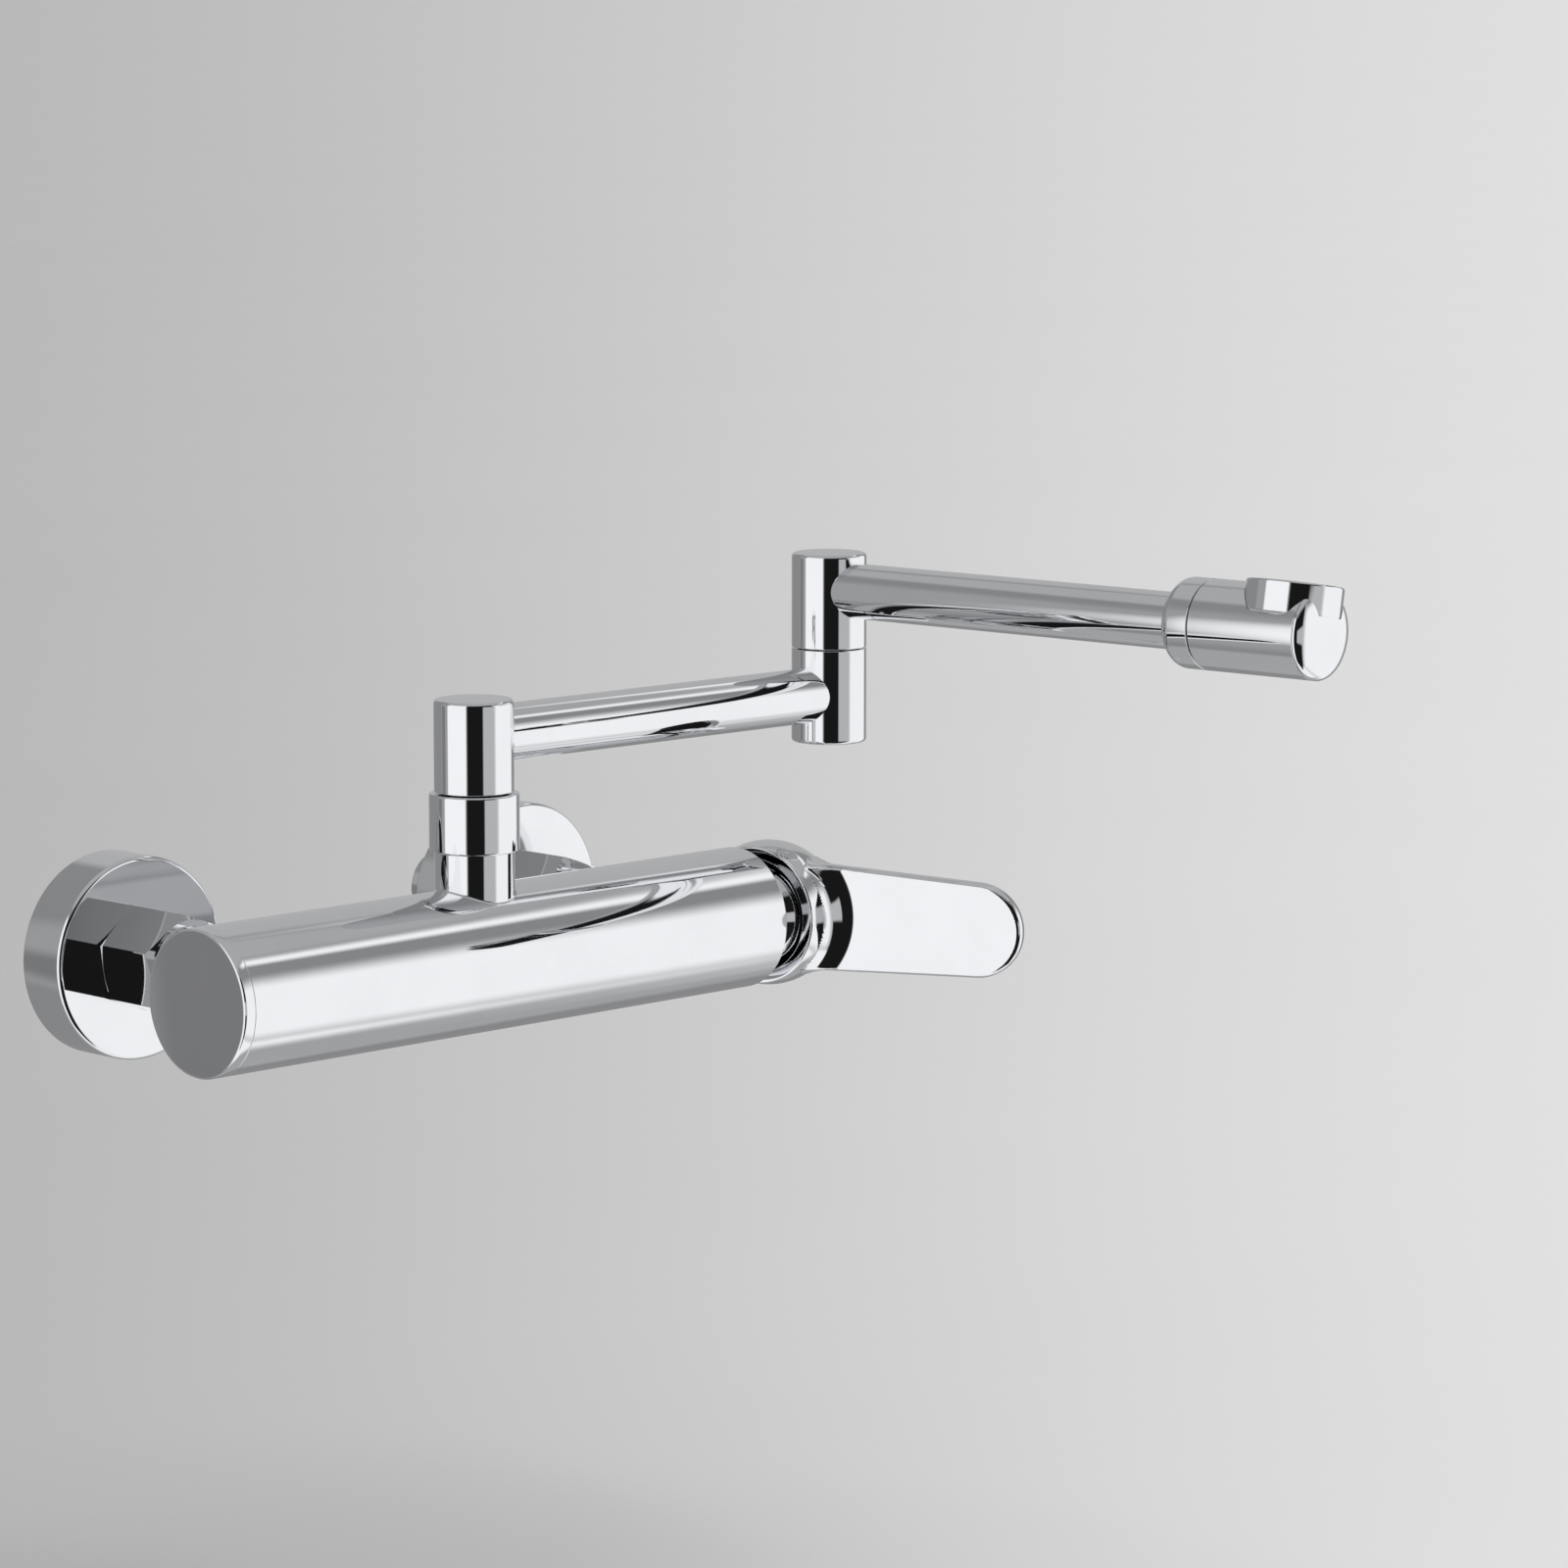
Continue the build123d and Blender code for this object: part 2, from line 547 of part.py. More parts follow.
# Cartridge shell around the discs, with a neck for the retaining nut
moving_bottom = disc_top + DISC_GAP
moving_top = moving_bottom + MOVING_DISC
plate_bottom = moving_top + DRIVER_GAP
plate_top = plate_bottom + DRIVER_PLATE
lid_bottom = plate_top + DISC_GAP
lid_top = lid_bottom + CART_LID
shell = rod(CART_R, base_top, CART_SHOULDER) + rod(CART_NECK_R, CART_SHOULDER, lid_top)
shell -= rod(CART_R - CART_WALL, base_top - OVERRUN, CART_SHOULDER - CART_LID)
shell -= rod(DRIVER_PLATE_R + SEAM, CART_SHOULDER - 2 * CART_LID, lid_bottom)
shell -= rod(TURRET_R + SEAM, lid_bottom - OVERRUN, lid_top + OVERRUN)
write("cartridge_shell", body_axis * shell)

# Retaining nut that clamps the cartridge into the body
nut_ring = ring(CART_R, CART_NECK_R + FIT, CART_SHOULDER, CART_NUT_END)
write("cartridge_nut", body_axis * nut_ring)

# Ball-shaped cover over the cartridge, open in front for the lever
cover = rod(DOME_FLANGE_R, CART_NUT_END, BODY_RIGHT) + rod(DOME_NECK_R, BODY_RIGHT, PIVOT_X)
cover += Pos(0, 0, PIVOT_X) * Sphere(DOME_R)
cover -= rod(DOME_NECK_R - DOME_WALL, PIVOT_X - DOME_R - OVERRUN, PIVOT_X)
cover -= Pos(0, 0, PIVOT_X) * Sphere(DOME_R - DOME_WALL)
cover_end = PIVOT_X + DOME_R * math.cos(math.radians(DOME_OPENING))
cover -= rod(DOME_R + OVERRUN, cover_end, PIVOT_X + DOME_R + OVERRUN)
write("dome_cover", body_axis * cover)

# Driver, the turning carrier of the lever pin, and the pin
turret_end = PIVOT_X + TURRET_TOP
driver = rod(DRIVER_PLATE_R, plate_bottom, plate_top) + rod(TURRET_R, plate_top, turret_end)
driver = Rot(0, QUARTER_TURN, 0) * driver
slot_width = STEM_WIDTH + 2 * STEM_GAP
arm_slot_width = 2 * (STEM_ARM_R + STEM_GAP)
slot_start = lid_top + SEAM
cheeks = Pos(slot_start, 0, 0) * Box(
    turret_end - slot_start + OVERRUN, 2 * (TURRET_R + OVERRUN), slot_width,
    align=(Align.MIN, Align.CENTER, Align.CENTER),
)
swing_side = math.sin(math.radians(LEVER_SWING))
slot_reach = (STEM_ARM + STEM_BALL_R) * swing_side + STEM_BALL_R + STEM_GAP
arm_slot = Pos(plate_bottom - OVERRUN, 0, 0) * Box(
    slot_start - plate_bottom + 2 * OVERRUN, 2 * slot_reach, arm_slot_width,
    align=(Align.MIN, Align.CENTER, Align.CENTER),
)
driver -= cheeks
driver -= arm_slot
driver -= Pos(PIVOT_X, 0, 0) * rod(PIN_R, -TURRET_R - OVERRUN, TURRET_R + OVERRUN)
write("cartridge_driver", cartridge * driver)
pin_half = math.sqrt(TURRET_R ** 2 - PIN_R ** 2) - FIT
write("lever_pin", cartridge * Pos(PIVOT_X, 0, 0) * rod(PIN_R, -pin_half, pin_half))

# Moving ceramic disc, pushed across by the ball on the lever's stem
disc_shift = -STEM_ARM * math.sin(math.radians(LEVER_OPEN))
moving = rod(MOVING_DISC_R, moving_bottom, moving_top)
moving -= rod(STEM_BALL_R + STEM_GAP, moving_bottom + DISC_GAP + STEM_GAP, moving_top + OVERRUN)
write("moving_ceramic_disc", cartridge * Pos(0, disc_shift, 0) * Rot(0, QUARTER_TURN, 0) * moving)

# Lever stem: a square shank on the pin, with an arm and a ball below it
shank = Pos(-STEM_BELOW, 0, 0) * Box(
    STEM_TOP + STEM_BELOW, STEM_WIDTH, STEM_WIDTH, align=(Align.MIN, Align.CENTER, Align.CENTER),
)
stem = shank + Rot(0, -QUARTER_TURN, 0) * rod(STEM_ARM_R, STEM_BELOW, STEM_ARM)
stem += Pos(-STEM_ARM, 0, 0) * Sphere(STEM_BALL_R)
stem -= rod(PIN_R + RUN, -STEM_WIDTH, STEM_WIDTH)
write("lever_stem", lever * stem)

# Handle: a ball-shaped hub over the cover, and a flat paddle with a round end
rim_r = math.sqrt(HUB_R ** 2 - HUB_BACK ** 2)
rim_x = -HUB_BACK + HUB_EDGE
rim_edge_r = math.sqrt(HUB_R ** 2 - rim_x ** 2)
crown = HUB_R / math.sqrt(2)
roof = math.sqrt(HUB_CAVITY_R ** 2 - HUB_BOSS_R ** 2)
shoulder = HUB_CAVITY_R / math.sqrt(2)
hub_outline = [
    Line((-HUB_BACK, HUB_CAVITY_R), (-HUB_BACK, rim_r - HUB_EDGE)),
    Line((-HUB_BACK, rim_r - HUB_EDGE), (rim_x, rim_edge_r)),
    ThreePointArc((rim_x, rim_edge_r), (crown, crown), (HUB_R, 0)),
    Line((HUB_R, 0), (HUB_BOSS_START, 0)),
    Line((HUB_BOSS_START, 0), (HUB_BOSS_START, HUB_BOSS_R)),
    Line((HUB_BOSS_START, HUB_BOSS_R), (roof, HUB_BOSS_R)),
    ThreePointArc((roof, HUB_BOSS_R), (shoulder, shoulder), (0, HUB_CAVITY_R)),
    Line((0, HUB_CAVITY_R), (-HUB_BACK, HUB_CAVITY_R)),
]
hub = revolve(make_face(hub_outline), Axis.X)
root_half = PADDLE_ROOT_WIDTH / 2
tip_half = PADDLE_TIP_WIDTH / 2
arc_start = PADDLE_TIP - tip_half
paddle_outline = [
    Line((PADDLE_START, -root_half), (arc_start, -tip_half)),
    ThreePointArc((arc_start, -tip_half), (PADDLE_TIP, 0), (arc_start, tip_half)),
    Line((arc_start, tip_half), (PADDLE_START, root_half)),
    Line((PADDLE_START, root_half), (PADDLE_START, -root_half)),
]
paddle = extrude(make_face(paddle_outline), PADDLE_THICKNESS)
broad = paddle.faces().sort_by(Axis.Z)
paddle = fillet(broad[0].edges() + broad[-1].edges(), PADDLE_EDGE)
paddle = Pos(0, PADDLE_THICKNESS / 2, 0) * Rot(QUARTER_TURN, 0, 0) * paddle
paddle -= Sphere(HUB_R - PADDLE_BITE)
handle = hub + Rot(0, 0, -PADDLE_ANGLE) * paddle
socket_width = STEM_WIDTH + 2 * FIT
handle -= Pos(HUB_BOSS_START - OVERRUN, 0, 0) * Box(
    STEM_TOP + FIT - HUB_BOSS_START + OVERRUN, socket_width, socket_width,
    align=(Align.MIN, Align.CENTER, Align.CENTER),
)
screw_at = Pos(GRUB_SCREW_AT, 0, 0)
handle -= screw_at * rod(GRUB_SCREW_R + FIT, -HUB_R - OVERRUN, 0)
write("lever_handle", lever * handle)

# Set screw that clamps the handle on the stem, and the plug that hides it
screw_start = STEM_WIDTH / 2
screw = rod(GRUB_SCREW_R, -screw_start - GRUB_SCREW_LENGTH, -screw_start)
write("handle_set_screw", lever * screw_at * screw)
hub_skin = math.sqrt(HUB_R ** 2 - GRUB_SCREW_AT ** 2)
plug = screw_at * rod(GRUB_SCREW_R, -HUB_R, -hub_skin + CAP_PLUG_LENGTH)
plug = plug & Sphere(HUB_R)
write("handle_plug", lever * plug)
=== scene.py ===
import json
import math

import bmesh
import bpy
from mathutils import Matrix, Vector


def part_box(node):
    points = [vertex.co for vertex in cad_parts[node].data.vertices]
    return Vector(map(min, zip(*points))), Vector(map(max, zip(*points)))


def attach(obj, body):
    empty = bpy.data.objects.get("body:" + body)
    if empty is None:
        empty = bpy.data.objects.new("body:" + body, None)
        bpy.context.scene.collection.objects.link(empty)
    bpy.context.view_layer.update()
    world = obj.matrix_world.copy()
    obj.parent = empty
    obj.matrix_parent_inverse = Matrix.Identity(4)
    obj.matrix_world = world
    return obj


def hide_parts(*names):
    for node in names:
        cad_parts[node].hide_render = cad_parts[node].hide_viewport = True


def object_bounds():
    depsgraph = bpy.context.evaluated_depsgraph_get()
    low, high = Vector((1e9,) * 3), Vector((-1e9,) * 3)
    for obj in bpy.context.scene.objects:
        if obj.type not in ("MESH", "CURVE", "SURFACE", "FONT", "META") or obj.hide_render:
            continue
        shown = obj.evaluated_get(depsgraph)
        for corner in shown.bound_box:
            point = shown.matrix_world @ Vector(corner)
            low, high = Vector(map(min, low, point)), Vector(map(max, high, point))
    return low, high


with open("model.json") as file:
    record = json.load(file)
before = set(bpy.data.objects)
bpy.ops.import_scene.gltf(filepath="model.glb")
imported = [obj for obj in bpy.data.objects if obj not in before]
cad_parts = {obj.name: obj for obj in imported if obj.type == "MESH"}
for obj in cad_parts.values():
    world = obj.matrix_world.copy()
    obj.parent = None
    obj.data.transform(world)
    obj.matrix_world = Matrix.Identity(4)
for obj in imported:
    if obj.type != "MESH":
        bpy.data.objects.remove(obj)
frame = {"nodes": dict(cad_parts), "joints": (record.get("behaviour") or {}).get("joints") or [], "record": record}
cad_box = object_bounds()


# The camera: a long lens that stands low in front of the tap and to its left.
# It looks slightly down, and across the body at half a right angle.
CAMERA_AT = Vector((-1.1182, -1.3292, 0.2903))
LOOK_RIGHT = math.radians(44.847)
LOOK_DOWN = math.radians(8.171)
LOOK_ROLL = math.radians(0.05)
FOCAL_PIXELS = 5964
FRAME_PIXELS = 1600
SENSOR_WIDTH = 36.0
NEAR_CLIP = 0.01
FAR_CLIP = 200.0

lens = bpy.data.cameras.new("studio_camera")
lens.sensor_width = SENSOR_WIDTH
lens.lens = SENSOR_WIDTH * FOCAL_PIXELS / FRAME_PIXELS
lens.clip_start = NEAR_CLIP
lens.clip_end = FAR_CLIP
camera = bpy.data.objects.new("studio_camera", lens)
bpy.context.scene.collection.objects.link(camera)
camera.matrix_world = (
    Matrix.Translation(CAMERA_AT)
    @ Matrix.Rotation(-LOOK_RIGHT, 4, "Z")
    @ Matrix.Rotation(math.pi / 2 - LOOK_DOWN, 4, "X")
    @ Matrix.Rotation(LOOK_ROLL, 4, "Z")
)
bpy.context.scene.camera = camera


# The studio, which the polished plate mirrors: a grey room with white panels to the left
# and to the right, and a ground that is white in front and grey at the back.
# A dark doorway stands behind the camera, with a dark recess to its right.
class Wire:
    """A link in a shader: arithmetic on it adds Math nodes."""

    def __init__(self, tree, socket=None):
        self.tree = tree
        self.socket = socket

    def add(self, kind, settings=None, sockets=None, output=0):
        """The output of a new node, after its settings and the values or links of its sockets."""
        node = self.tree.nodes.new(kind)
        for name, value in (settings or {}).items():
            setattr(node, name, value)
        for name, value in (sockets or {}).items():
            if isinstance(value, Wire):
                self.tree.links.new(value.socket, node.inputs[name])
            else:
                node.inputs[name].default_value = value
        return Wire(self.tree, node.outputs[output]) if len(node.outputs) else None

    def parts(self):
        """A wire from each output of this link's node."""
        return [Wire(self.tree, socket) for socket in self.socket.node.outputs]

    def worked(self, operation, first, second=0.0):
        return self.add("ShaderNodeMath", {"operation": operation}, {0: first, 1: second})

    def __add__(self, other):
        return self.worked("ADD", self, other)

    __radd__ = __add__

    def __sub__(self, other):
        return self.worked("SUBTRACT", self, other)

    def __rsub__(self, other):
        return self.worked("SUBTRACT", other, self)

    def __mul__(self, other):
        return self.worked("MULTIPLY", self, other)

    __rmul__ = __mul__

    def __truediv__(self, other):
        return self.worked("DIVIDE", self, other)

    def step(self, low, high):
        """A smooth climb from 0 at low to 1 at high."""
        return self.add(
            "ShaderNodeMapRange", {"interpolation_type": "SMOOTHSTEP"},
            {"Value": self, "From Min": low, "From Max": high},
        )

    def band(self, low, high, soft):
        """A mask that is 1 between low and high, with edges this soft."""
        return self.step(low - soft, low + soft) * (1 - self.step(high - soft, high + soft))


def emptied(block):
    """A wire in the emptied node tree of a world or a material."""
    block.use_nodes = True
    block.node_tree.nodes.clear()
    return Wire(block.node_tree)


bpy.context.scene.view_settings.view_transform = "Standard"
room = bpy.data.worlds.new("studio_room")
bpy.context.scene.world = room
air = emptied(room)
direction = air.add("ShaderNodeTexCoord", output="Generated")
look_x, look_y, look_z = air.add("ShaderNodeSeparateXYZ", sockets={"Vector": direction}).parts()
side_x = math.cos(LOOK_RIGHT)
side_y = -math.sin(LOOK_RIGHT)
to_right = look_x * side_x + look_y * side_y
to_camera = look_x * side_y - look_y * side_x
turn = air.worked("ARCTAN2", to_right, to_camera) * math.degrees(1)
rise = air.worked("ARCSINE", look_z) * math.degrees(1)

# Spans of the room in degrees: from, to, and how soft the edges are. Turns are 0 towards
# the camera and grow to the right, rises are 0 at level and grow upwards. Later ones hang
# in front of earlier ones.
ROOM_GREY = 0.27
CEILING_GLOW, CEILING_CLIMB = 0.43, (44, 50)
BACK_GLOW, BACK_RISE, NOT_BACK_TURN = 0.46, (-10, 44, 5), (-158, 158, 5)
GROUND_GLOW, GROUND_TURN, GROUND_RISE = 1.0, (-70, 118, 12), (-95, -43, 3)
BACK_GROUND_GLOW = 0.40
EDGE_GLOW, EDGE_TURN, EDGE_RISE = 0.36, (-102, -76, 3), (-34, 30, 8)
CORNER_GLOW, CORNER_TURN, CORNER_RISE = 0.21, (-100, -87, 2), (-30, 0, 5)
LEFT_GLOW, LEFT_TURN, LEFT_RISE = 1.02, (-77.5, -19, 2), (-45, 38, 5)
SIDE_GLOW, SIDE_TURN, SIDE_RISE = 0.50, (30, 66, 2), (-40, 36, 5)
RECESS_GLOW, RECESS_TURN, RECESS_RISE = 0.010, (25, 60, 2), (-62, 38, 3)
SHELF_RISE = (-13, 5, 2)
RIGHT_GLOW, RIGHT_TURN, RIGHT_RISE = 1.0, (66, 138, 5), (-42, 24, 9)
STRIP_GLOW, STRIP_TURN, STRIP_RISE = 1.0, (95, 158, 6), (41.5, 46, 2)
DOOR_GLOW, DOOR_TURN, DOOR_RISE = 0.010, (-16, 29, 2), (-62, 34, 3)
BLUE_SHARE = 1.01


def lit(level, glow, mask):
    """The level, moved to a glow where the mask is 1."""
    return level + mask * (glow - level)


def over(turns, rises):
    """A mask that is 1 over a span of turns and of rises."""
    return turn.band(*turns) * rise.band(*rises)


level = rise.step(*CEILING_CLIMB) * (CEILING_GLOW - ROOM_GREY) + ROOM_GREY
level = lit(level, BACK_GLOW, rise.band(*BACK_RISE) * (1 - turn.band(*NOT_BACK_TURN)))
level = lit(level, GROUND_GLOW, over(GROUND_TURN, GROUND_RISE))
level = lit(level, BACK_GROUND_GLOW, rise.band(*GROUND_RISE) * (1 - turn.band(*GROUND_TURN)))
level = lit(level, EDGE_GLOW, over(EDGE_TURN, EDGE_RISE))
level = lit(level, CORNER_GLOW, over(CORNER_TURN, CORNER_RISE))
level = lit(level, LEFT_GLOW, over(LEFT_TURN, LEFT_RISE))
level = lit(level, SIDE_GLOW, over(SIDE_TURN, SIDE_RISE))
level = lit(level, RECESS_GLOW, over(RECESS_TURN, RECESS_RISE) * (1 - rise.band(*SHELF_RISE)))
level = lit(level, RIGHT_GLOW, over(RIGHT_TURN, RIGHT_RISE))
level = lit(level, STRIP_GLOW, over(STRIP_TURN, STRIP_RISE))
level = lit(level, DOOR_GLOW, over(DOOR_TURN, DOOR_RISE))
tint = air.add("ShaderNodeCombineColor", sockets={
    "Red": level, "Green": level, "Blue": level * BLUE_SHARE,
})
glow = air.add("ShaderNodeBackground", sockets={"Color": tint, "Strength": 1.0})
air.add("ShaderNodeOutputWorld", sockets={"Surface": glow})


# The floor: a wide sheet of pale paper that lies well below the tap.
# Its tone carries painted light and shade: it fans out from darker on the left to lighter on the right,
# and the plate doesn't mirror it.
FLOOR_DEPTH = 0.16
FLOOR_REACH = 90.0
FLOOR_SIDES = 96
FLOOR_PAINTED_SHADE = 0.57
FLOOR_PAINTED_LIGHT = 0.96
FLOOR_SPREAD = 0.19
FLOOR_NEAR = 0.5
PAPER_GRAIN = 0.02

floor_mesh = bmesh.new()
bmesh.ops.create_circle(floor_mesh, cap_ends=True, segments=FLOOR_SIDES, radius=FLOOR_REACH)
bmesh.ops.translate(floor_mesh, verts=floor_mesh.verts, vec=(0, 0, cad_box[0][2] - FLOOR_DEPTH))
floor_data = bpy.data.meshes.new("floor")
floor_mesh.to_mesh(floor_data)
floor_mesh.free()
floor = bpy.data.objects.new("floor", floor_data)
bpy.context.scene.collection.objects.link(floor)
floor.visible_glossy = False


def start_skin(name):
    """A new material, a wire in its empty tree, and a wire of the point's place."""
    skin = bpy.data.materials.new(name)
    wire = emptied(skin)
    return skin, wire, wire.add("ShaderNodeTexCoord", output="Object")


def noise(place, scale, detail, roughness=0.5):
    return place.add("ShaderNodeTexNoise", sockets={
        "Vector": place, "Scale": scale, "Detail": detail, "Roughness": roughness,
    })


def end_skin(wire, **sockets):
    """Closes a material with one shader, whose sockets are given by their names."""
    named = {name.replace("_", " "): value for name, value in sockets.items()}
    shell = wire.add("ShaderNodeBsdfPrincipled", sockets=named)
    wire.add("ShaderNodeOutputMaterial", sockets={"Surface": shell})


paper, sheet, sheet_place = start_skin("floor_paper")
grain = noise(sheet_place, scale=3.0, detail=4.0)
place_x, place_y, _ = sheet.add("ShaderNodeSeparateXYZ", sockets={"Vector": sheet_place}).parts()
sheet_x = place_x - CAMERA_AT.x
sheet_y = place_y - CAMERA_AT.y
across = sheet_x * side_x + sheet_y * side_y
along = sheet.worked("MAXIMUM", sheet_y * side_x - sheet_x * side_y, FLOOR_NEAR)
# Painted light and shade: the paper's colour is lighter to the right and darker to the left, fanning out from the
# camera's place.
painted_light_share = (across / along).step(-FLOOR_SPREAD, FLOOR_SPREAD)
tone = grain * PAPER_GRAIN + painted_light_share * (FLOOR_PAINTED_LIGHT - FLOOR_PAINTED_SHADE) + FLOOR_PAINTED_SHADE
grey = sheet.add("ShaderNodeCombineColor", sockets={"Red": tone, "Green": tone, "Blue": tone})
end_skin(sheet, Base_Color=grey, Roughness=0.85)
floor_data.materials.append(paper)


# The lamp: one wide soft light from above and to the right.
# It brightens the floor and the dull pieces alone, because the plate doesn't mirror it.
LAMP_POWER = 1.35
LAMP_SPREAD = math.radians(70)
LAMP_LEAN = math.radians(25)
lamp_data = bpy.data.lights.new("soft_light", "SUN")
lamp_data.energy = LAMP_POWER
lamp_data.angle = LAMP_SPREAD
lamp = bpy.data.objects.new("soft_light", lamp_data)
bpy.context.scene.collection.objects.link(lamp)
lamp.matrix_world = Matrix.Rotation(LAMP_LEAN, 4, "Y")
lamp.visible_glossy = False


# The escutcheons: two drawn and plated brass cups, whose open rims cover the pipe holes.
# Each has a turned-over front edge and a round hole that the inlet union passes through.
# They slide on the unions, and the union nuts hold them in place.
MM = 0.001
SIDES = ("left", "right")
ESC_WALL = 1.4 * MM
ESC_EDGE = 1.3 * MM
ESC_HOLLOW = 0.8 * MM
UNION_R = 11.95 * MM
RIM_ROUND = 0.3 * MM
TURN_STEPS = 192
SAME_POINT = 1e-6


# A Mix node's sockets for two colours and for the mixed one share their names with others.
COLOUR_A, COLOUR_B, MIXED_COLOUR = 6, 7, 2


def stained(wire, mask, tone, fade):
    """The tone, faded where the mask is 1."""
    faded = [part * fade for part in tone]
    return wire.add(
        "ShaderNodeMix", {"data_type": "RGBA"},
        {"Factor": mask, COLOUR_A: (*tone, 1), COLOUR_B: (*faded, 1)}, output=MIXED_COLOUR,
    )


def bumped(wire, height, strength, depth):
    return wire.add("ShaderNodeBump", sockets={
        "Strength": strength, "Distance": depth, "Height": height,
    })


def plated(name, tone, dullness, ripple):
    """Polished metal with faint smears, fine swirls from the buff, and a slow ripple."""
    skin, wire, place = start_skin(name)
    smear = noise(place, scale=38.0, detail=5.0, roughness=0.6)
    swirl = noise(place, scale=900.0, detail=2.0)
    wave = noise(place, scale=24.0, detail=1.0)
    rough = smear.step(0.42, 0.8) * (0.5 * dullness) + swirl * (0.35 * dullness) + dullness
    end_skin(
        wire, Base_Color=stained(wire, smear.step(0.35, 0.75), tone, fade=0.965), Metallic=1.0,
        Roughness=rough, Normal=bumped(wire, wave, ripple, depth=0.4 * MM),
    )
    return skin


chrome = plated("polished_chrome", (0.86, 0.87, 0.885), dullness=0.028, ripple=0.02)


def rounded(shape, parts, radius, segments, affect):
    """Rounds edges or corners of a bmesh."""
    bmesh.ops.bevel(
        shape, geom=parts, offset=radius, offset_type="OFFSET", segments=segments,
        profile=0.5, affect=affect, material=-1,
    )


def turned(outline, matrix, steps=TURN_STEPS):
    """A bmesh spun about local Z from points (radius, height) or with (rounding, segments)."""
    shape = bmesh.new()
    points = [(*point, 0, 0)[:4] for point in outline]
    corners = [shape.verts.new((radius, 0, height)) for radius, height, _, _ in points]
    for first, second in zip(corners, corners[1:]):
        shape.edges.new((first, second))
    if points[0][0] > 0:
        shape.edges.new((corners[-1], corners[0]))
    for corner, (_, _, rounding, segments) in zip(corners, points):
        if rounding:
            rounded(shape, [corner], rounding, segments, "VERTICES")
    bmesh.ops.spin(
        shape, geom=shape.verts[:] + shape.edges[:], cent=(0, 0, 0), axis=(0, 0, 1),
        angle=math.tau, steps=steps, use_merge=True,
    )
    bmesh.ops.remove_doubles(shape, verts=shape.verts, dist=SAME_POINT)
    bmesh.ops.recalc_face_normals(shape, faces=shape.faces)
    bmesh.ops.transform(shape, matrix=matrix, verts=shape.verts)
    return shape


def make_piece(name, shape, body, node, crease=32):
    """The plated object of a bmesh, riding on its body in the place of a CAD node."""
    for edge in shape.edges:
        edge.smooth = len(edge.link_faces) != 2 or edge.calc_face_angle(0) < math.radians(crease)
    for face in shape.faces:
        face.smooth = True
    data = bpy.data.meshes.new(name)
    shape.to_mesh(data)
    shape.free()
    data.materials.append(chrome)
    piece = bpy.data.objects.new(name, data)
    bpy.context.scene.collection.objects.link(piece)
    even = piece.modifiers.new("even_normals", "WEIGHTED_NORMAL")
    even.mode = "FACE_AREA"
    even.weight = 100
    even.keep_sharp = True
    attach(piece, body)
    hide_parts(node)


def axes_at(origin, forward, up):
    """A matrix whose local Z points along forward and local X along up."""
    forward = Vector(forward).normalized()
    up = Vector(up).normalized()
    matrix = Matrix((up, forward.cross(up), forward)).transposed().to_4x4()
    matrix.translation = origin
    return matrix


inlet_frames = []
for side in SIDES:
    low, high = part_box("escutcheon_" + side)
    middle = Vector(((low.x + high.x) / 2, 0, (low.z + high.z) / 2))
    outwards = axes_at(middle, (0, -1, 0), (0, 0, 1))
    inlet_frames.append(outwards)
    esc_r = (high.x - low.x) / 2
    esc_depth = high.y - low.y
    cup = turned([
        (UNION_R, esc_depth - ESC_WALL),
        (esc_r - ESC_WALL, esc_depth - ESC_WALL, ESC_HOLLOW, 4),
        (esc_r - ESC_WALL, 0, RIM_ROUND, 2),
        (esc_r, 0, RIM_ROUND, 3),
        (esc_r, esc_depth, ESC_EDGE, 8),
        (UNION_R, esc_depth, RIM_ROUND, 3),
    ], outwards)
    make_piece("escutcheon_cup_" + side, cup, "mixer", "escutcheon_" + side)


# The union nuts: two hexagon nuts turned from bar and plated with the rest.
# Their corners are chamfered at both ends, and a lip inside pulls the nipple's flange tight.
NUT_FLATS = 28.0 * MM
NUT_BORE_R = 9.0 * MM
NUT_CHAMFER = 1.7 * MM
NUT_FACE_STEP = 0.2 * MM
NUT_CLEAR = 0.3 * MM
NUT_EDGE = 0.25 * MM
NUT_TURN = math.radians(-20)
NUT_CREASE = 20
CUT_MERGE = 2e-6


def cut(piece_shape, tool_shape, operation="DIFFERENCE"):
    """The bmesh left when one closed bmesh is cut by another."""
    halves = []
    for shape in (piece_shape, tool_shape):
        data = bpy.data.meshes.new("blank")
        shape.to_mesh(data)
        shape.free()
        halves.append(bpy.data.objects.new("blank", data))
        bpy.context.scene.collection.objects.link(halves[-1])
    knife = halves[0].modifiers.new("knife", "BOOLEAN")
    knife.operation = operation
    knife.solver = "EXACT"
    knife.object = halves[1]
    bpy.context.view_layer.update()
    ready = halves[0].evaluated_get(bpy.context.evaluated_depsgraph_get())
    result = bmesh.new()
    result.from_mesh(ready.to_mesh())
    ready.to_mesh_clear()
    for half in halves:
        bpy.data.objects.remove(half)
    bmesh.ops.remove_doubles(result, verts=result.verts, dist=CUT_MERGE)
    bmesh.ops.dissolve_degenerate(result, dist=SAME_POINT, edges=result.edges)
    return result


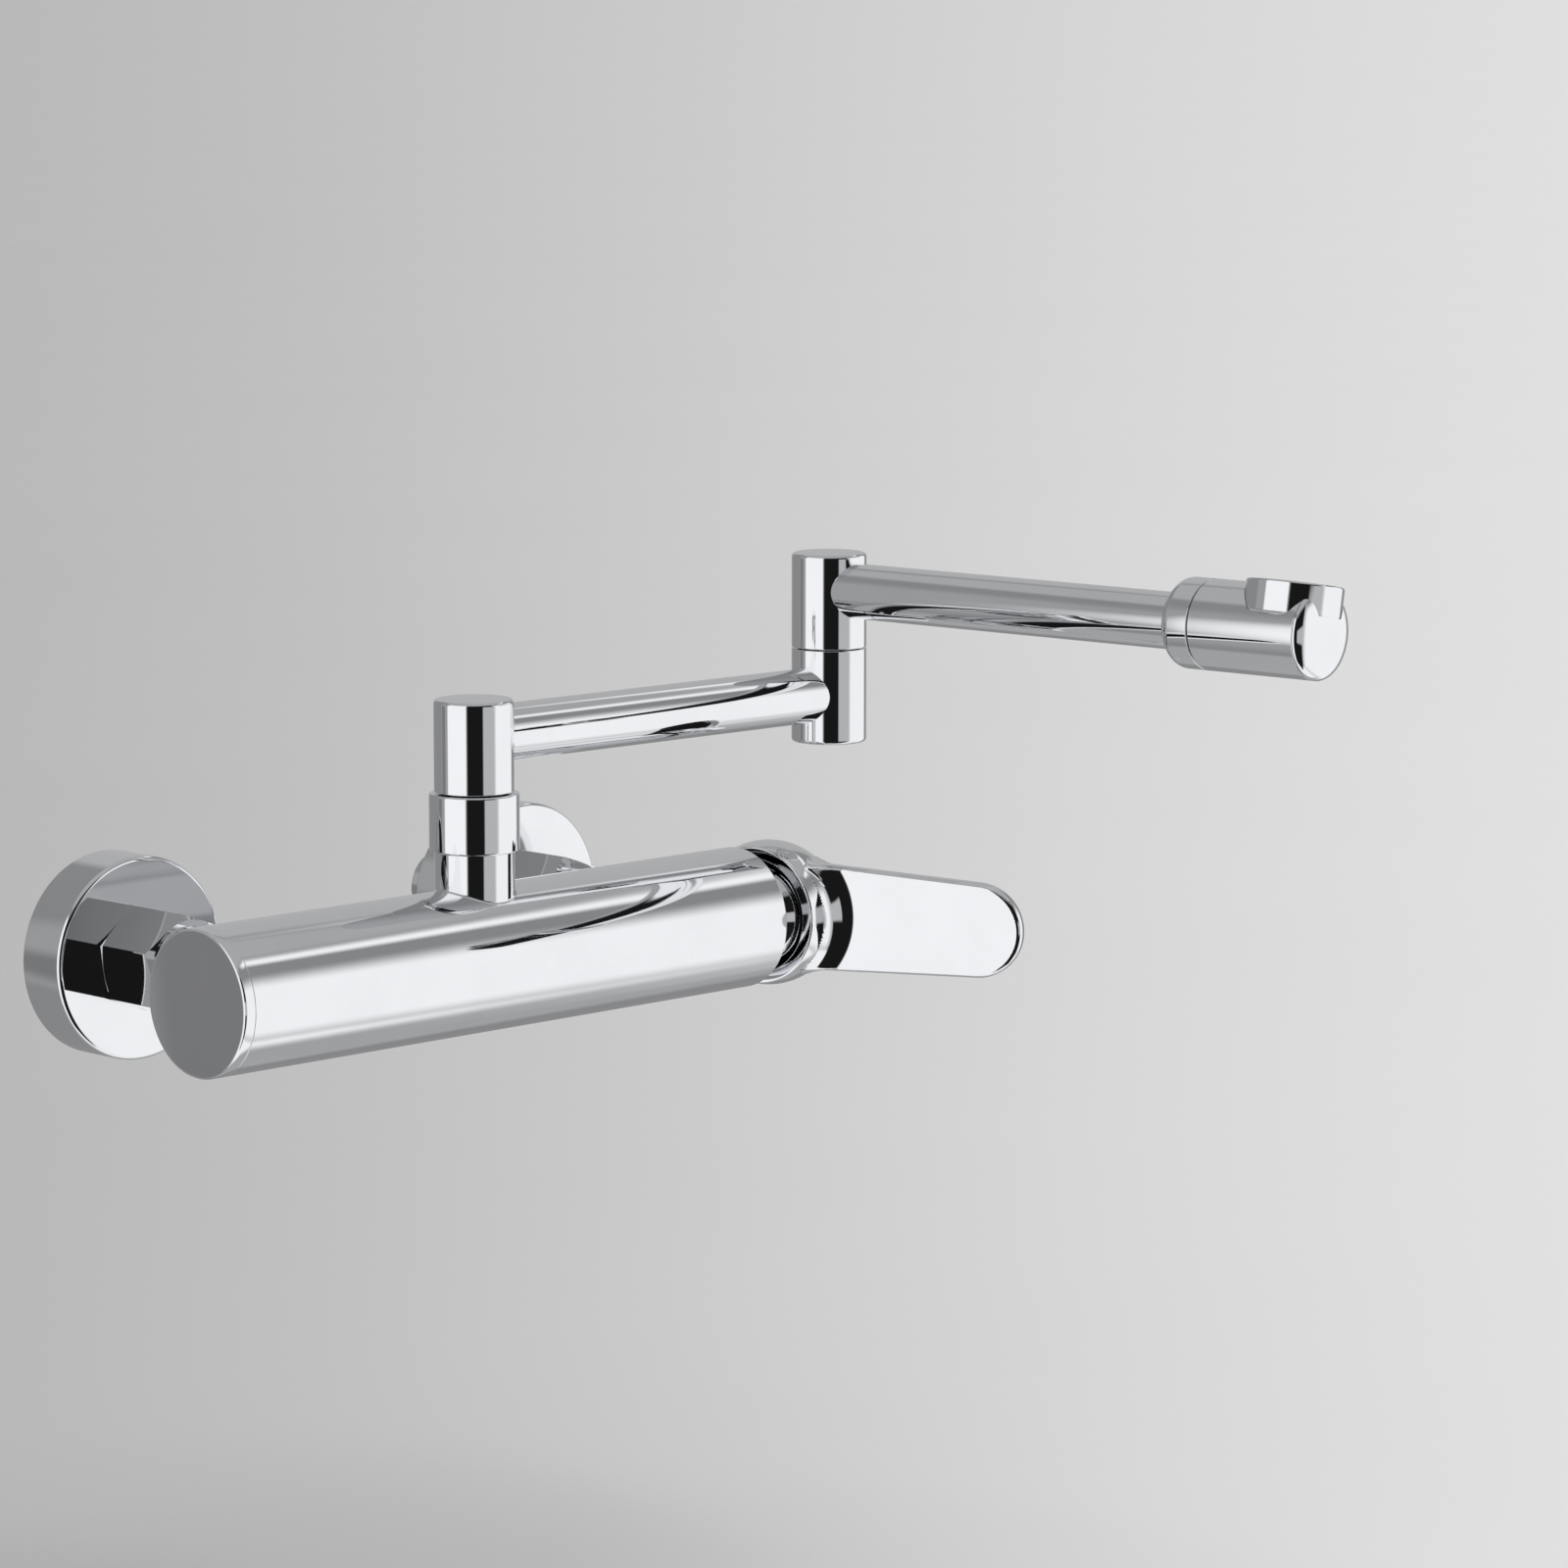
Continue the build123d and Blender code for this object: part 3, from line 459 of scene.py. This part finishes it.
low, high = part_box("union_nuts")
nut_start = -high.y
nut_end = -low.y
nut_length = nut_end - nut_start
corner_r = NUT_FLATS / 2 / math.cos(math.pi / 6)
face_r = NUT_FLATS / 2 - NUT_FACE_STEP
for side, matrix in zip(SIDES, inlet_frames):
    bar = bmesh.new()
    bmesh.ops.create_cone(
        bar, cap_ends=True, segments=6, radius1=corner_r, radius2=corner_r, depth=nut_length,
    )
    uprights = [
        edge for edge in bar.edges
        if abs(edge.verts[0].co.z - edge.verts[1].co.z) > nut_length / 2
    ]
    rounded(bar, uprights, NUT_EDGE, 3, "EDGES")
    bmesh.ops.translate(bar, verts=bar.verts, vec=(0, 0, (nut_start + nut_end) / 2))
    bmesh.ops.transform(bar, matrix=matrix @ Matrix.Rotation(NUT_TURN, 4, "Z"), verts=bar.verts)
    cone = turned([
        (NUT_BORE_R, nut_start),
        (face_r, nut_start),
        (corner_r + NUT_CLEAR, nut_start + NUT_CHAMFER),
        (corner_r + NUT_CLEAR, nut_end - NUT_CHAMFER),
        (face_r, nut_end),
        (NUT_BORE_R, nut_end),
    ], matrix)
    nut = cut(bar, cone, "INTERSECT")
    make_piece("union_nut_" + side, nut, "mixer", "union_nuts", crease=NUT_CREASE)


# The mixer body: a hollow brass casting that lies level, ground and polished, then plated.
# Two bosses at its back take the inlet nipples, and one on top takes the spout.
# The bosses run into the barrel with a small ground fillet.
BODY_EDGE = 0.7 * MM
FINE_ROUND = 0.2 * MM
FINE_STEPS = 256
BOSS_FILLET = 0.5 * MM
FILLET_STEPS = 8
FOOT_SHARE = 1.01
CREST_SHARE = 0.99
INLET_BOSS_R = 12.0 * MM
INLET_BORE_R = 9.0 * MM
INLET_EDGE = 0.5 * MM
INLET_GAP = 0.6 * MM
SPOUT_BOSS_R = 11.6 * MM
SPOUT_BORE_R = 9.5 * MM
CHAMBER_R = 17.35 * MM
RECESS_R = 18.55 * MM
cap_low, cap_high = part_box("end_cap")
body_low, body_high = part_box("mixer_body")
body_r = (cap_high.z - cap_low.z) / 2
body_y = (cap_low.y + cap_high.y) / 2
along_body = axes_at((0, body_y, 0), (1, 0, 0), (0, 0, 1))
recess_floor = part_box("dome_cover")[0].x
chamber_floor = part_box("cartridge_base")[0].x
barrel = turned([
    (0, body_low.x),
    (body_r, body_low.x, FINE_ROUND, 3),
    (body_r, body_high.x, BODY_EDGE, 6),
    (RECESS_R, body_high.x, RIM_ROUND, 3),
    (RECESS_R, recess_floor),
    (CHAMBER_R, recess_floor),
    (CHAMBER_R, chamber_floor),
    (0, chamber_floor),
], along_body, steps=FINE_STEPS)
make_piece("body_barrel", barrel, "mixer", "mixer_body")


def boss(name, radius, top, bore, matrix, edge):
    """A boss whose foot follows the barrel's round back, with a fillet there."""
    foot = [(radius + BOSS_FILLET, -BOSS_FILLET)]
    for step in range(FILLET_STEPS + 1):
        swing = step / FILLET_STEPS * math.pi / 2
        foot.append((
            radius + BOSS_FILLET * (1 - math.sin(swing)), BOSS_FILLET * (1 - math.cos(swing)),
        ))
    shape = turned(
        [(bore, -BOSS_FILLET)] + foot + [(radius, top - body_r, edge, 4), (bore, top - body_r)],
        Matrix.Identity(4),
    )
    for vert in shape.verts:
        aside = min(abs(vert.co.y), body_r * CREST_SHARE)
        in_foot = vert.co.z < BOSS_FILLET * FOOT_SHARE
        vert.co.z += math.sqrt(body_r ** 2 - aside ** 2) if in_foot else body_r
    bmesh.ops.transform(shape, matrix=matrix, verts=shape.verts)
    make_piece(name, shape, "mixer", "mixer_body")


for side, matrix in zip(SIDES, inlet_frames):
    back = axes_at((matrix.translation.x, body_y, 0), (0, 1, 0), (1, 0, 0))
    inlet_top = -body_y - nut_end - INLET_GAP
    boss("inlet_boss_" + side, INLET_BOSS_R, inlet_top, INLET_BORE_R, back, INLET_EDGE)
joints = {joint["name"]: joint for joint in frame["joints"]}
spout_at = Vector(joints["spout_swivel"]["pos_m"])
spout_at.z = 0
collar_low, collar_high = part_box("spout_collar_nut")
upright = axes_at(spout_at, (0, 0, 1), (1, 0, 0))
boss("spout_boss", SPOUT_BOSS_R, collar_low.z, SPOUT_BORE_R, upright, FINE_ROUND)


# The end cap: a turned brass disc screwed into the left end of the body.
# Its face is flat, with a bright bevelled edge, and its seam with the body hardly shows.
CAP_BEVEL = 1.0 * MM
CAP_SEAM = 0.12 * MM
SPIGOT_STEP = 4 * MM
SPIGOT_BORE_STEP = 6 * MM
cap_shape = turned([
    (0, cap_low.x),
    (body_r, cap_low.x, CAP_BEVEL, 2),
    (body_r, body_low.x, CAP_SEAM, 2),
    (body_r - SPIGOT_STEP, body_low.x),
    (body_r - SPIGOT_STEP, cap_high.x, RIM_ROUND, 2),
    (body_r - SPIGOT_BORE_STEP, cap_high.x),
    (body_r - SPIGOT_BORE_STEP, body_low.x),
    (0, body_low.x),
], along_body, steps=FINE_STEPS)
make_piece("end_cap_disc", cap_shape, "mixer", "end_cap")


# The spout collar nut: a plain plated ring nut that holds the spout down in the body.
# It is turned smooth, with small rounded edges, and stands a little proud of the post.
COLLAR_ROUND = 0.7 * MM
COLLAR_BORE_R = 8.4 * MM
COLLAR_THREAD_R = 11.1 * MM
COLLAR_LIP = 2.6 * MM
collar_r = (collar_high.x - collar_low.x) / 2
collar_shape = turned([
    (COLLAR_BORE_R, collar_high.z),
    (collar_r, collar_high.z, COLLAR_ROUND, 5),
    (collar_r, collar_low.z, COLLAR_ROUND, 5),
    (COLLAR_THREAD_R, collar_low.z),
    (COLLAR_THREAD_R, collar_high.z - COLLAR_LIP),
    (COLLAR_BORE_R, collar_high.z - COLLAR_LIP),
], upright)
make_piece("collar_nut_ring", collar_shape, "mixer", "spout_collar_nut")


# The post: a turned and plated upright cylinder that swivels in the collar.
# Its top edge is softly rounded, and the first arm is brazed into its side.
SEAM_GAP = 0.3 * MM
TOP_ROUND = 1.2 * MM
post_low, post_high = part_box("spout_post")
post_r = (post_high.x - post_low.x) / 2
post_bottom = collar_high.z + SEAM_GAP
post_shape = turned([
    (0, post_bottom),
    (post_r, post_bottom, RIM_ROUND, 3),
    (post_r, post_high.z, TOP_ROUND, 6),
    (0, post_high.z),
], upright)
make_piece("spout_post_upright", post_shape, "inner_arm", "spout_post")


# The first arm: a seamless drawn brass tube, polished and plated.
# Its ends are saddled onto the post and the lower elbow, and brazed there.
ARM_WALL = 1.75 * MM
BURIED_SHARE = 0.45
elbow_at = Vector(joints["elbow_swivel"]["pos_m"])
elbow_at.z = 0
tube_low, tube_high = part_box("inner_arm_tube")
arm_r = (tube_high.z - tube_low.z) / 2
arm1_z = (tube_low.z + tube_high.z) / 2
arm1 = elbow_at - spout_at
along_arm1 = axes_at(spout_at + Vector((0, 0, arm1_z)), arm1.normalized(), (0, 0, 1))


def tube(start, end, matrix):
    """A length of the arms' pipe."""
    return turned([
        (arm_r - ARM_WALL, start), (arm_r, start), (arm_r, end), (arm_r - ARM_WALL, end),
    ], matrix)


bury = post_r * BURIED_SHARE
arm1_pipe = tube(bury, arm1.length - bury, along_arm1)
make_piece("inner_arm_pipe", arm1_pipe, "inner_arm", "inner_arm_tube")


# The lower elbow: a short plated cylinder with the bearing of the folding joint inside.
# A flush plug with a round key hole closes it from below.
BEARING_R = 8.6 * MM
BEARING_DEPTH = 2 * MM
PLUG_SEAT_R = 10.25 * MM
PLUG_SEAT_DEPTH = 2 * MM
KEY_R = 2.6 * MM
KEY_RIM_R = 3.0 * MM
KEY_RIM_ROUND = 0.15 * MM
KEY_DEPTH = 0.4 * MM
lower_low, lower_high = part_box("elbow_lower")
elbow_r = (lower_high.x - lower_low.x) / 2
at_elbow = axes_at(elbow_at, (0, 0, 1), (1, 0, 0))
lower_shape = turned([
    (0, lower_high.z - BEARING_DEPTH),
    (BEARING_R, lower_high.z - BEARING_DEPTH),
    (BEARING_R, lower_high.z),
    (elbow_r, lower_high.z, RIM_ROUND, 3),
    (elbow_r, lower_low.z, TOP_ROUND, 6),
    (PLUG_SEAT_R, lower_low.z, FINE_ROUND, 2),
    (PLUG_SEAT_R, lower_low.z + PLUG_SEAT_DEPTH),
    (0, lower_low.z + PLUG_SEAT_DEPTH),
], at_elbow)
make_piece("elbow_lower_half", lower_shape, "inner_arm", "elbow_lower")
plug_low, plug_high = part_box("elbow_plug")
plug_r = (plug_high.x - plug_low.x) / 2
plug_shape = turned([
    (0, plug_low.z + KEY_DEPTH),
    (KEY_R, plug_low.z + KEY_DEPTH, FINE_ROUND, 2),
    (KEY_RIM_R, plug_low.z, KEY_RIM_ROUND, 2),
    (plug_r, plug_low.z, RIM_ROUND, 3),
    (plug_r, plug_high.z),
    (0, plug_high.z),
], at_elbow)
make_piece("elbow_plug_disc", plug_shape, "inner_arm", "elbow_plug")


# The upper elbow: the plated twin of the lower one, turning on it with a hairline seam.
# The second arm is brazed into its side, higher up.
upper_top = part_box("elbow_upper")[1].z
upper_bottom = lower_high.z + SEAM_GAP
upper_shape = turned([
    (0, upper_bottom),
    (elbow_r, upper_bottom, RIM_ROUND, 3),
    (elbow_r, upper_top, TOP_ROUND, 6),
    (0, upper_top),
], at_elbow)
make_piece("elbow_upper_half", upper_shape, "outer_arm", "elbow_upper")


# The second arm: the same drawn and plated tube as the first.
# It is brazed into the upper elbow and into the head's back ring.
RING_OVERLAP = 4 * MM
arm2_dir = Vector(joints["outlet_spin"]["axis"]).normalized()
head_at = Vector(joints["outlet_spin"]["pos_m"])
along_arm2 = axes_at(elbow_at + Vector((0, 0, head_at.z)), arm2_dir, (0, 0, 1))


def reach(node):
    """How far a node's points lie along the second arm, at least and at most."""
    start = along_arm2.translation
    lengths = [(vert.co - start).dot(arm2_dir) for vert in frame["nodes"][node].data.vertices]
    return min(lengths), max(lengths)


ring_back = reach("head_back_ring")[0]
arm2_pipe = tube(bury, ring_back + RING_OVERLAP, along_arm2)
make_piece("outer_arm_pipe", arm2_pipe, "outer_arm", "outer_arm_tube")


# The head's back ring: a turned and plated ring brazed onto the arm, with a round shoulder.
# The head turns against it at a fine seam.
HEAD_R = 13.3 * MM
HEAD_SHOULDER = 3.7 * MM
seam, head_end = reach("head_barrel")
ring_front = seam - SEAM_GAP
ring_shape = turned([
    (arm_r - ARM_WALL, ring_back),
    (HEAD_R, ring_back, HEAD_SHOULDER, 12),
    (HEAD_R, ring_front, RIM_ROUND, 3),
    (arm_r - ARM_WALL, ring_front),
], along_arm2)
make_piece("head_shoulder_ring", ring_shape, "outer_arm", "head_back_ring")


# The head: a short turned and plated barrel that spins about the arm, so that the outlet
# can face any way. A round seat is milled in its side for the aerator.
HEAD_TURN = math.radians(-10)
AERATOR_R = 14.1 * MM
SEAT_FLOOR = 5.0 * MM
SEAT_GAP = 0.1 * MM
SEAT_TOP = HEAD_R * 1.5
head_up = Matrix.Rotation(HEAD_TURN, 4, arm2_dir) @ Vector((0, 0, 1))
along_head = axes_at(along_arm2.translation, arm2_dir, head_up)
outlet = axes_at(head_at, head_up, arm2_dir)


def seated(shape):
    """The head's piece with the aerator's seat milled out."""
    seat_r = AERATOR_R + SEAT_GAP
    cutter = turned([
        (0, SEAT_FLOOR), (seat_r, SEAT_FLOOR), (seat_r, SEAT_TOP), (0, SEAT_TOP),
    ], outlet)
    return cut(shape, cutter)


barrel_shape = turned([
    (0, seam),
    (HEAD_R, seam, RIM_ROUND, 3),
    (HEAD_R, head_end, FINE_ROUND, 2),
    (0, head_end),
], along_head, steps=FINE_STEPS)
make_piece("outlet_head_barrel", seated(barrel_shape), "outlet_head", "head_barrel")


# The head's end cap: a domed and plated disc pressed into the end of the barrel.
# A fine groove with a bright edge marks the seam.
GROOVE_DEPTH = 0.6 * MM
GROOVE_WIDTH = 0.25 * MM
DOME_STEPS = 24
dome_start = head_end + GROOVE_WIDTH
dome_rise = reach("head_cap")[1] - head_end - GROOVE_WIDTH
dome_outline = [
    (0, head_end), (HEAD_R - GROOVE_DEPTH, head_end), (HEAD_R - GROOVE_DEPTH, dome_start),
]
for step in range(DOME_STEPS + 1):
    swing = math.pi / 2 * (1 - step / DOME_STEPS)
    dome_outline.append((HEAD_R * math.sin(swing), dome_start + dome_rise * math.cos(swing)))
dome_shape = turned(dome_outline, along_head, steps=FINE_STEPS)
make_piece("outlet_head_cap", seated(dome_shape), "outlet_head", "head_cap")


# The aerator: a plated ring screwed into the head's side, with a plastic jet insert inside.
# Its rim stands a little above the head, and a rubber washer seals it below.
AERATOR_TOP = 14.0 * MM
AERATOR_BORE_R = 11.3 * MM
AERATOR_ROUND = 0.7 * MM
AERATOR_BORE_ROUND = 0.4 * MM
housing_shape = turned([
    (AERATOR_BORE_R, SEAT_FLOOR),
    (AERATOR_R, SEAT_FLOOR, RIM_ROUND, 2),
    (AERATOR_R, AERATOR_TOP, AERATOR_ROUND, 5),
    (AERATOR_BORE_R, AERATOR_TOP, AERATOR_BORE_ROUND, 4),
], outlet)
make_piece("aerator_ring", housing_shape, "outlet_head", "aerator_housing")


# The cover: a spun and plated shell like a ball, between the body and the lever.
# A flange seats it in the body, and the lever's hub rides over its round front.
COVER_R = 16.5 * MM
COVER_NECK_R = 11.0 * MM
COVER_WALL = 1.2 * MM
COVER_OPENING = math.radians(57)
COVER_STEPS = 40
COVER_INNER_STEPS = 24
FLANGE_R = 18.5 * MM
lever_at = Vector(joints["flow_tilt"]["pos_m"])


def ball_points(radius, start, end, steps):
    """Points (radius, height) on a ball about the lever's pin, by their angle from the front."""
    angles = [start + (end - start) * step / steps for step in range(steps + 1)]
    return [(radius * math.sin(angle), lever_at.x + radius * math.cos(angle)) for angle in angles]


neck_bore = COVER_NECK_R - COVER_WALL
cover_inner_r = COVER_R - COVER_WALL
outer_foot = math.pi - math.asin(COVER_NECK_R / COVER_R)
inner_foot = math.pi - math.asin(neck_bore / cover_inner_r)
cover_outline = [
    (neck_bore, recess_floor),
    (FLANGE_R, recess_floor),
    (FLANGE_R, body_high.x, FINE_ROUND, 2),
    (COVER_NECK_R, body_high.x),
    *ball_points(COVER_R, outer_foot, COVER_OPENING, COVER_STEPS),
    *ball_points(cover_inner_r, COVER_OPENING, inner_foot, COVER_INNER_STEPS),
]
make_piece("dome_cover_shell", turned(cover_outline, along_body), "mixer", "dome_cover")


# The lever's hub: the ball-shaped end of a heavy cast and plated handle.
# It sits on the cartridge's stem, held by a set screw under a small plug.
MIX_TURN = math.radians(2)
LEVER_OPEN = math.radians(11)
HUB_R = 22.0 * MM
HUB_BACK = 7.4 * MM
HUB_EDGE = 0.4 * MM
HUB_STEPS = 56
CAVITY_R = 17.3 * MM
CAVITY_STEPS = 20
LEVER_CREASE = 38
lever_pose = (
    Matrix.Translation(lever_at)
    @ Matrix.Rotation(MIX_TURN, 4, "X") @ Matrix.Rotation(LEVER_OPEN, 4, "Z")
)
hub_axis = (
    lever_pose @ Matrix.Rotation(math.pi / 2, 4, "Y") @ Matrix.Translation((0, 0, -lever_at.x))
)
hub_foot = lever_at.x - HUB_BACK
rim_swing = math.acos(-HUB_BACK / HUB_R)
hub_outline = [
    (0, lever_at.x + CAVITY_R),
    *ball_points(CAVITY_R, 0, math.pi / 2, CAVITY_STEPS)[1:],
    (CAVITY_R, hub_foot, RIM_ROUND, 3),
    (HUB_R * math.sin(rim_swing), hub_foot, HUB_EDGE, 4),
    *ball_points(HUB_R, rim_swing, 0, HUB_STEPS)[1:-1],
    (0, lever_at.x + HUB_R),
]
hub_shape = turned(hub_outline, hub_axis, steps=FINE_STEPS)
make_piece("lever_hub", hub_shape, "lever", "lever_handle", crease=LEVER_CREASE)


# The lever's paddle: a flat blade with a round end, cast in one with the hub.
# It stands out from the side of the ball, and runs into it in a small hollow curve.
PADDLE_ANGLE = math.radians(74)
PADDLE_BURY = 1.6 * MM
PADDLE_TIP = 80.3 * MM
PADDLE_THICKNESS = 5.0 * MM
PADDLE_EDGE = 1.7 * MM
PADDLE_EDGE_STEPS = 8
ROOT_HALF = 16.5 * MM
ROOT_STEPS = 24
ROOT_MARGIN = 0.1 * MM
TIP_HALF = 13.9 * MM
TIP_SHARE = 0.985
TIP_STEPS = 48
ROOT_BLEND = 7.0 * MM
EDGE_BLEND = 1.5 * MM
BLEND_GRID = 0.3 * MM
BLEND_MARGIN = 1.1
HALVINGS = 16
root_r = HUB_R - PADDLE_BURY
root_swing = math.asin(ROOT_HALF / root_r)
root_start = root_r * math.cos(root_swing)
outline = [(PADDLE_TIP, -TIP_HALF), (PADDLE_TIP, TIP_HALF), (root_start, ROOT_HALF)]
for step in range(1, ROOT_STEPS + 1):
    swing = root_swing * (1 - step / (ROOT_STEPS / 2))
    outline.append((root_r * math.cos(swing), root_r * math.sin(swing)))
paddle = bmesh.new()
corners = [paddle.verts.new((x, PADDLE_THICKNESS / 2, z)) for x, z in outline]
paddle.faces.new(corners)
rounded(paddle, corners[:2], TIP_HALF * TIP_SHARE, TIP_STEPS, "VERTICES")
grown = bmesh.ops.extrude_face_region(paddle, geom=paddle.faces[:])
front = [item for item in grown["geom"] if isinstance(item, bmesh.types.BMVert)]
bmesh.ops.translate(paddle, verts=front, vec=(0, -PADDLE_THICKNESS, 0))


def on_rim(edge):
    """Whether an edge runs round one of the two faces, away from the root."""
    first, second = (vert.co for vert in edge.verts)
    farthest = max(math.hypot(first.x, first.z), math.hypot(second.x, second.z))
    return abs(first.y - second.y) < PADDLE_THICKNESS / 2 and farthest > root_r + ROOT_MARGIN


rims = [edge for edge in paddle.edges if on_rim(edge)]
rounded(paddle, rims, PADDLE_EDGE, PADDLE_EDGE_STEPS, "EDGES")
bmesh.ops.recalc_face_normals(paddle, faces=paddle.faces)


def sliced(shape, places, normal):
    """Adds a line of edges across a bmesh at each place along the normal."""
    for place in places:
        bmesh.ops.bisect_plane(
            shape, geom=[*shape.verts, *shape.edges, *shape.faces], dist=SAME_POINT,
            plane_co=Vector(normal) * place, plane_no=normal,
        )


blend_reach = HUB_R + BLEND_MARGIN * ROOT_BLEND
columns = int((blend_reach - root_start) / BLEND_GRID) + 1
rows = round(ROOT_HALF / BLEND_GRID)
sliced(paddle, [blend_reach - step * BLEND_GRID for step in range(columns)], (1, 0, 0))
sliced(paddle, [step * BLEND_GRID for step in range(-rows, rows + 1)], (0, 0, 1))
paddle.normal_update()


def swell(point, out):
    """How far a point of the paddle moves out, for a round hollow where it meets the ball."""
    blend = EDGE_BLEND + (ROOT_BLEND - EDGE_BLEND) * abs(out.y) ** 3
    if point.length - HUB_R >= blend:
        return 0
    low, high = 0, blend
    for _ in range(HALVINGS):
        middle = (low + high) / 2
        above = (point + out * middle).length - HUB_R
        if (blend - middle) ** 2 + max(blend - above, 0) ** 2 > blend ** 2:
            low = middle
        else:
            high = middle
    return high


moves = [(vert, vert.normal * swell(vert.co, vert.normal)) for vert in paddle.verts]
for vert, move in moves:
    vert.co += move
paddle_pose = lever_pose @ Matrix.Rotation(-PADDLE_ANGLE, 4, "Z")
bmesh.ops.transform(paddle, matrix=paddle_pose, verts=paddle.verts)
make_piece("lever_paddle", paddle, "lever", "lever_handle", crease=LEVER_CREASE)


# The pieces inside: brass nipples, rubber seals, acetal bearings, steel clips and the
# ceramic discs of the cartridge. They keep their built shapes, in the finishes of such parts.
def moulded(name, tone, dullness, grain):
    """Moulded or fired stuff with faint clouds and a fine grain."""
    skin, wire, place = start_skin(name)
    speckle = noise(place, scale=1400.0, detail=3.0)
    cloud = noise(place, scale=90.0, detail=3.0)
    end_skin(
        wire, Base_Color=stained(wire, cloud.step(0.35, 0.7), tone, fade=0.88),
        Roughness=cloud * 0.15 + dullness, Normal=bumped(wire, speckle, grain, depth=0.2 * MM),
    )
    return skin


finishes = {
    "chrome": chrome,
    "brass": plated("machined_brass", (0.80, 0.60, 0.30), dullness=0.16, ripple=0.1),
    "steel": plated("stainless_steel", (0.62, 0.62, 0.63), dullness=0.14, ripple=0.1),
    "rubber": moulded("black_rubber", (0.02, 0.02, 0.021), dullness=0.6, grain=0.3),
    "plastic": moulded("white_acetal", (0.78, 0.78, 0.74), dullness=0.35, grain=0.1),
    "plastic_grey": moulded("grey_insert_plastic", (0.32, 0.33, 0.35), dullness=0.3, grain=0.15),
    "ceramic": moulded("lapped_ceramic", (0.88, 0.87, 0.83), dullness=0.15, grain=0.03),
}
for part in frame["record"]["subparts"]:
    data = frame["nodes"][part["node"]].data
    data.materials.clear()
    data.materials.append(finishes[part["material_slot"]])
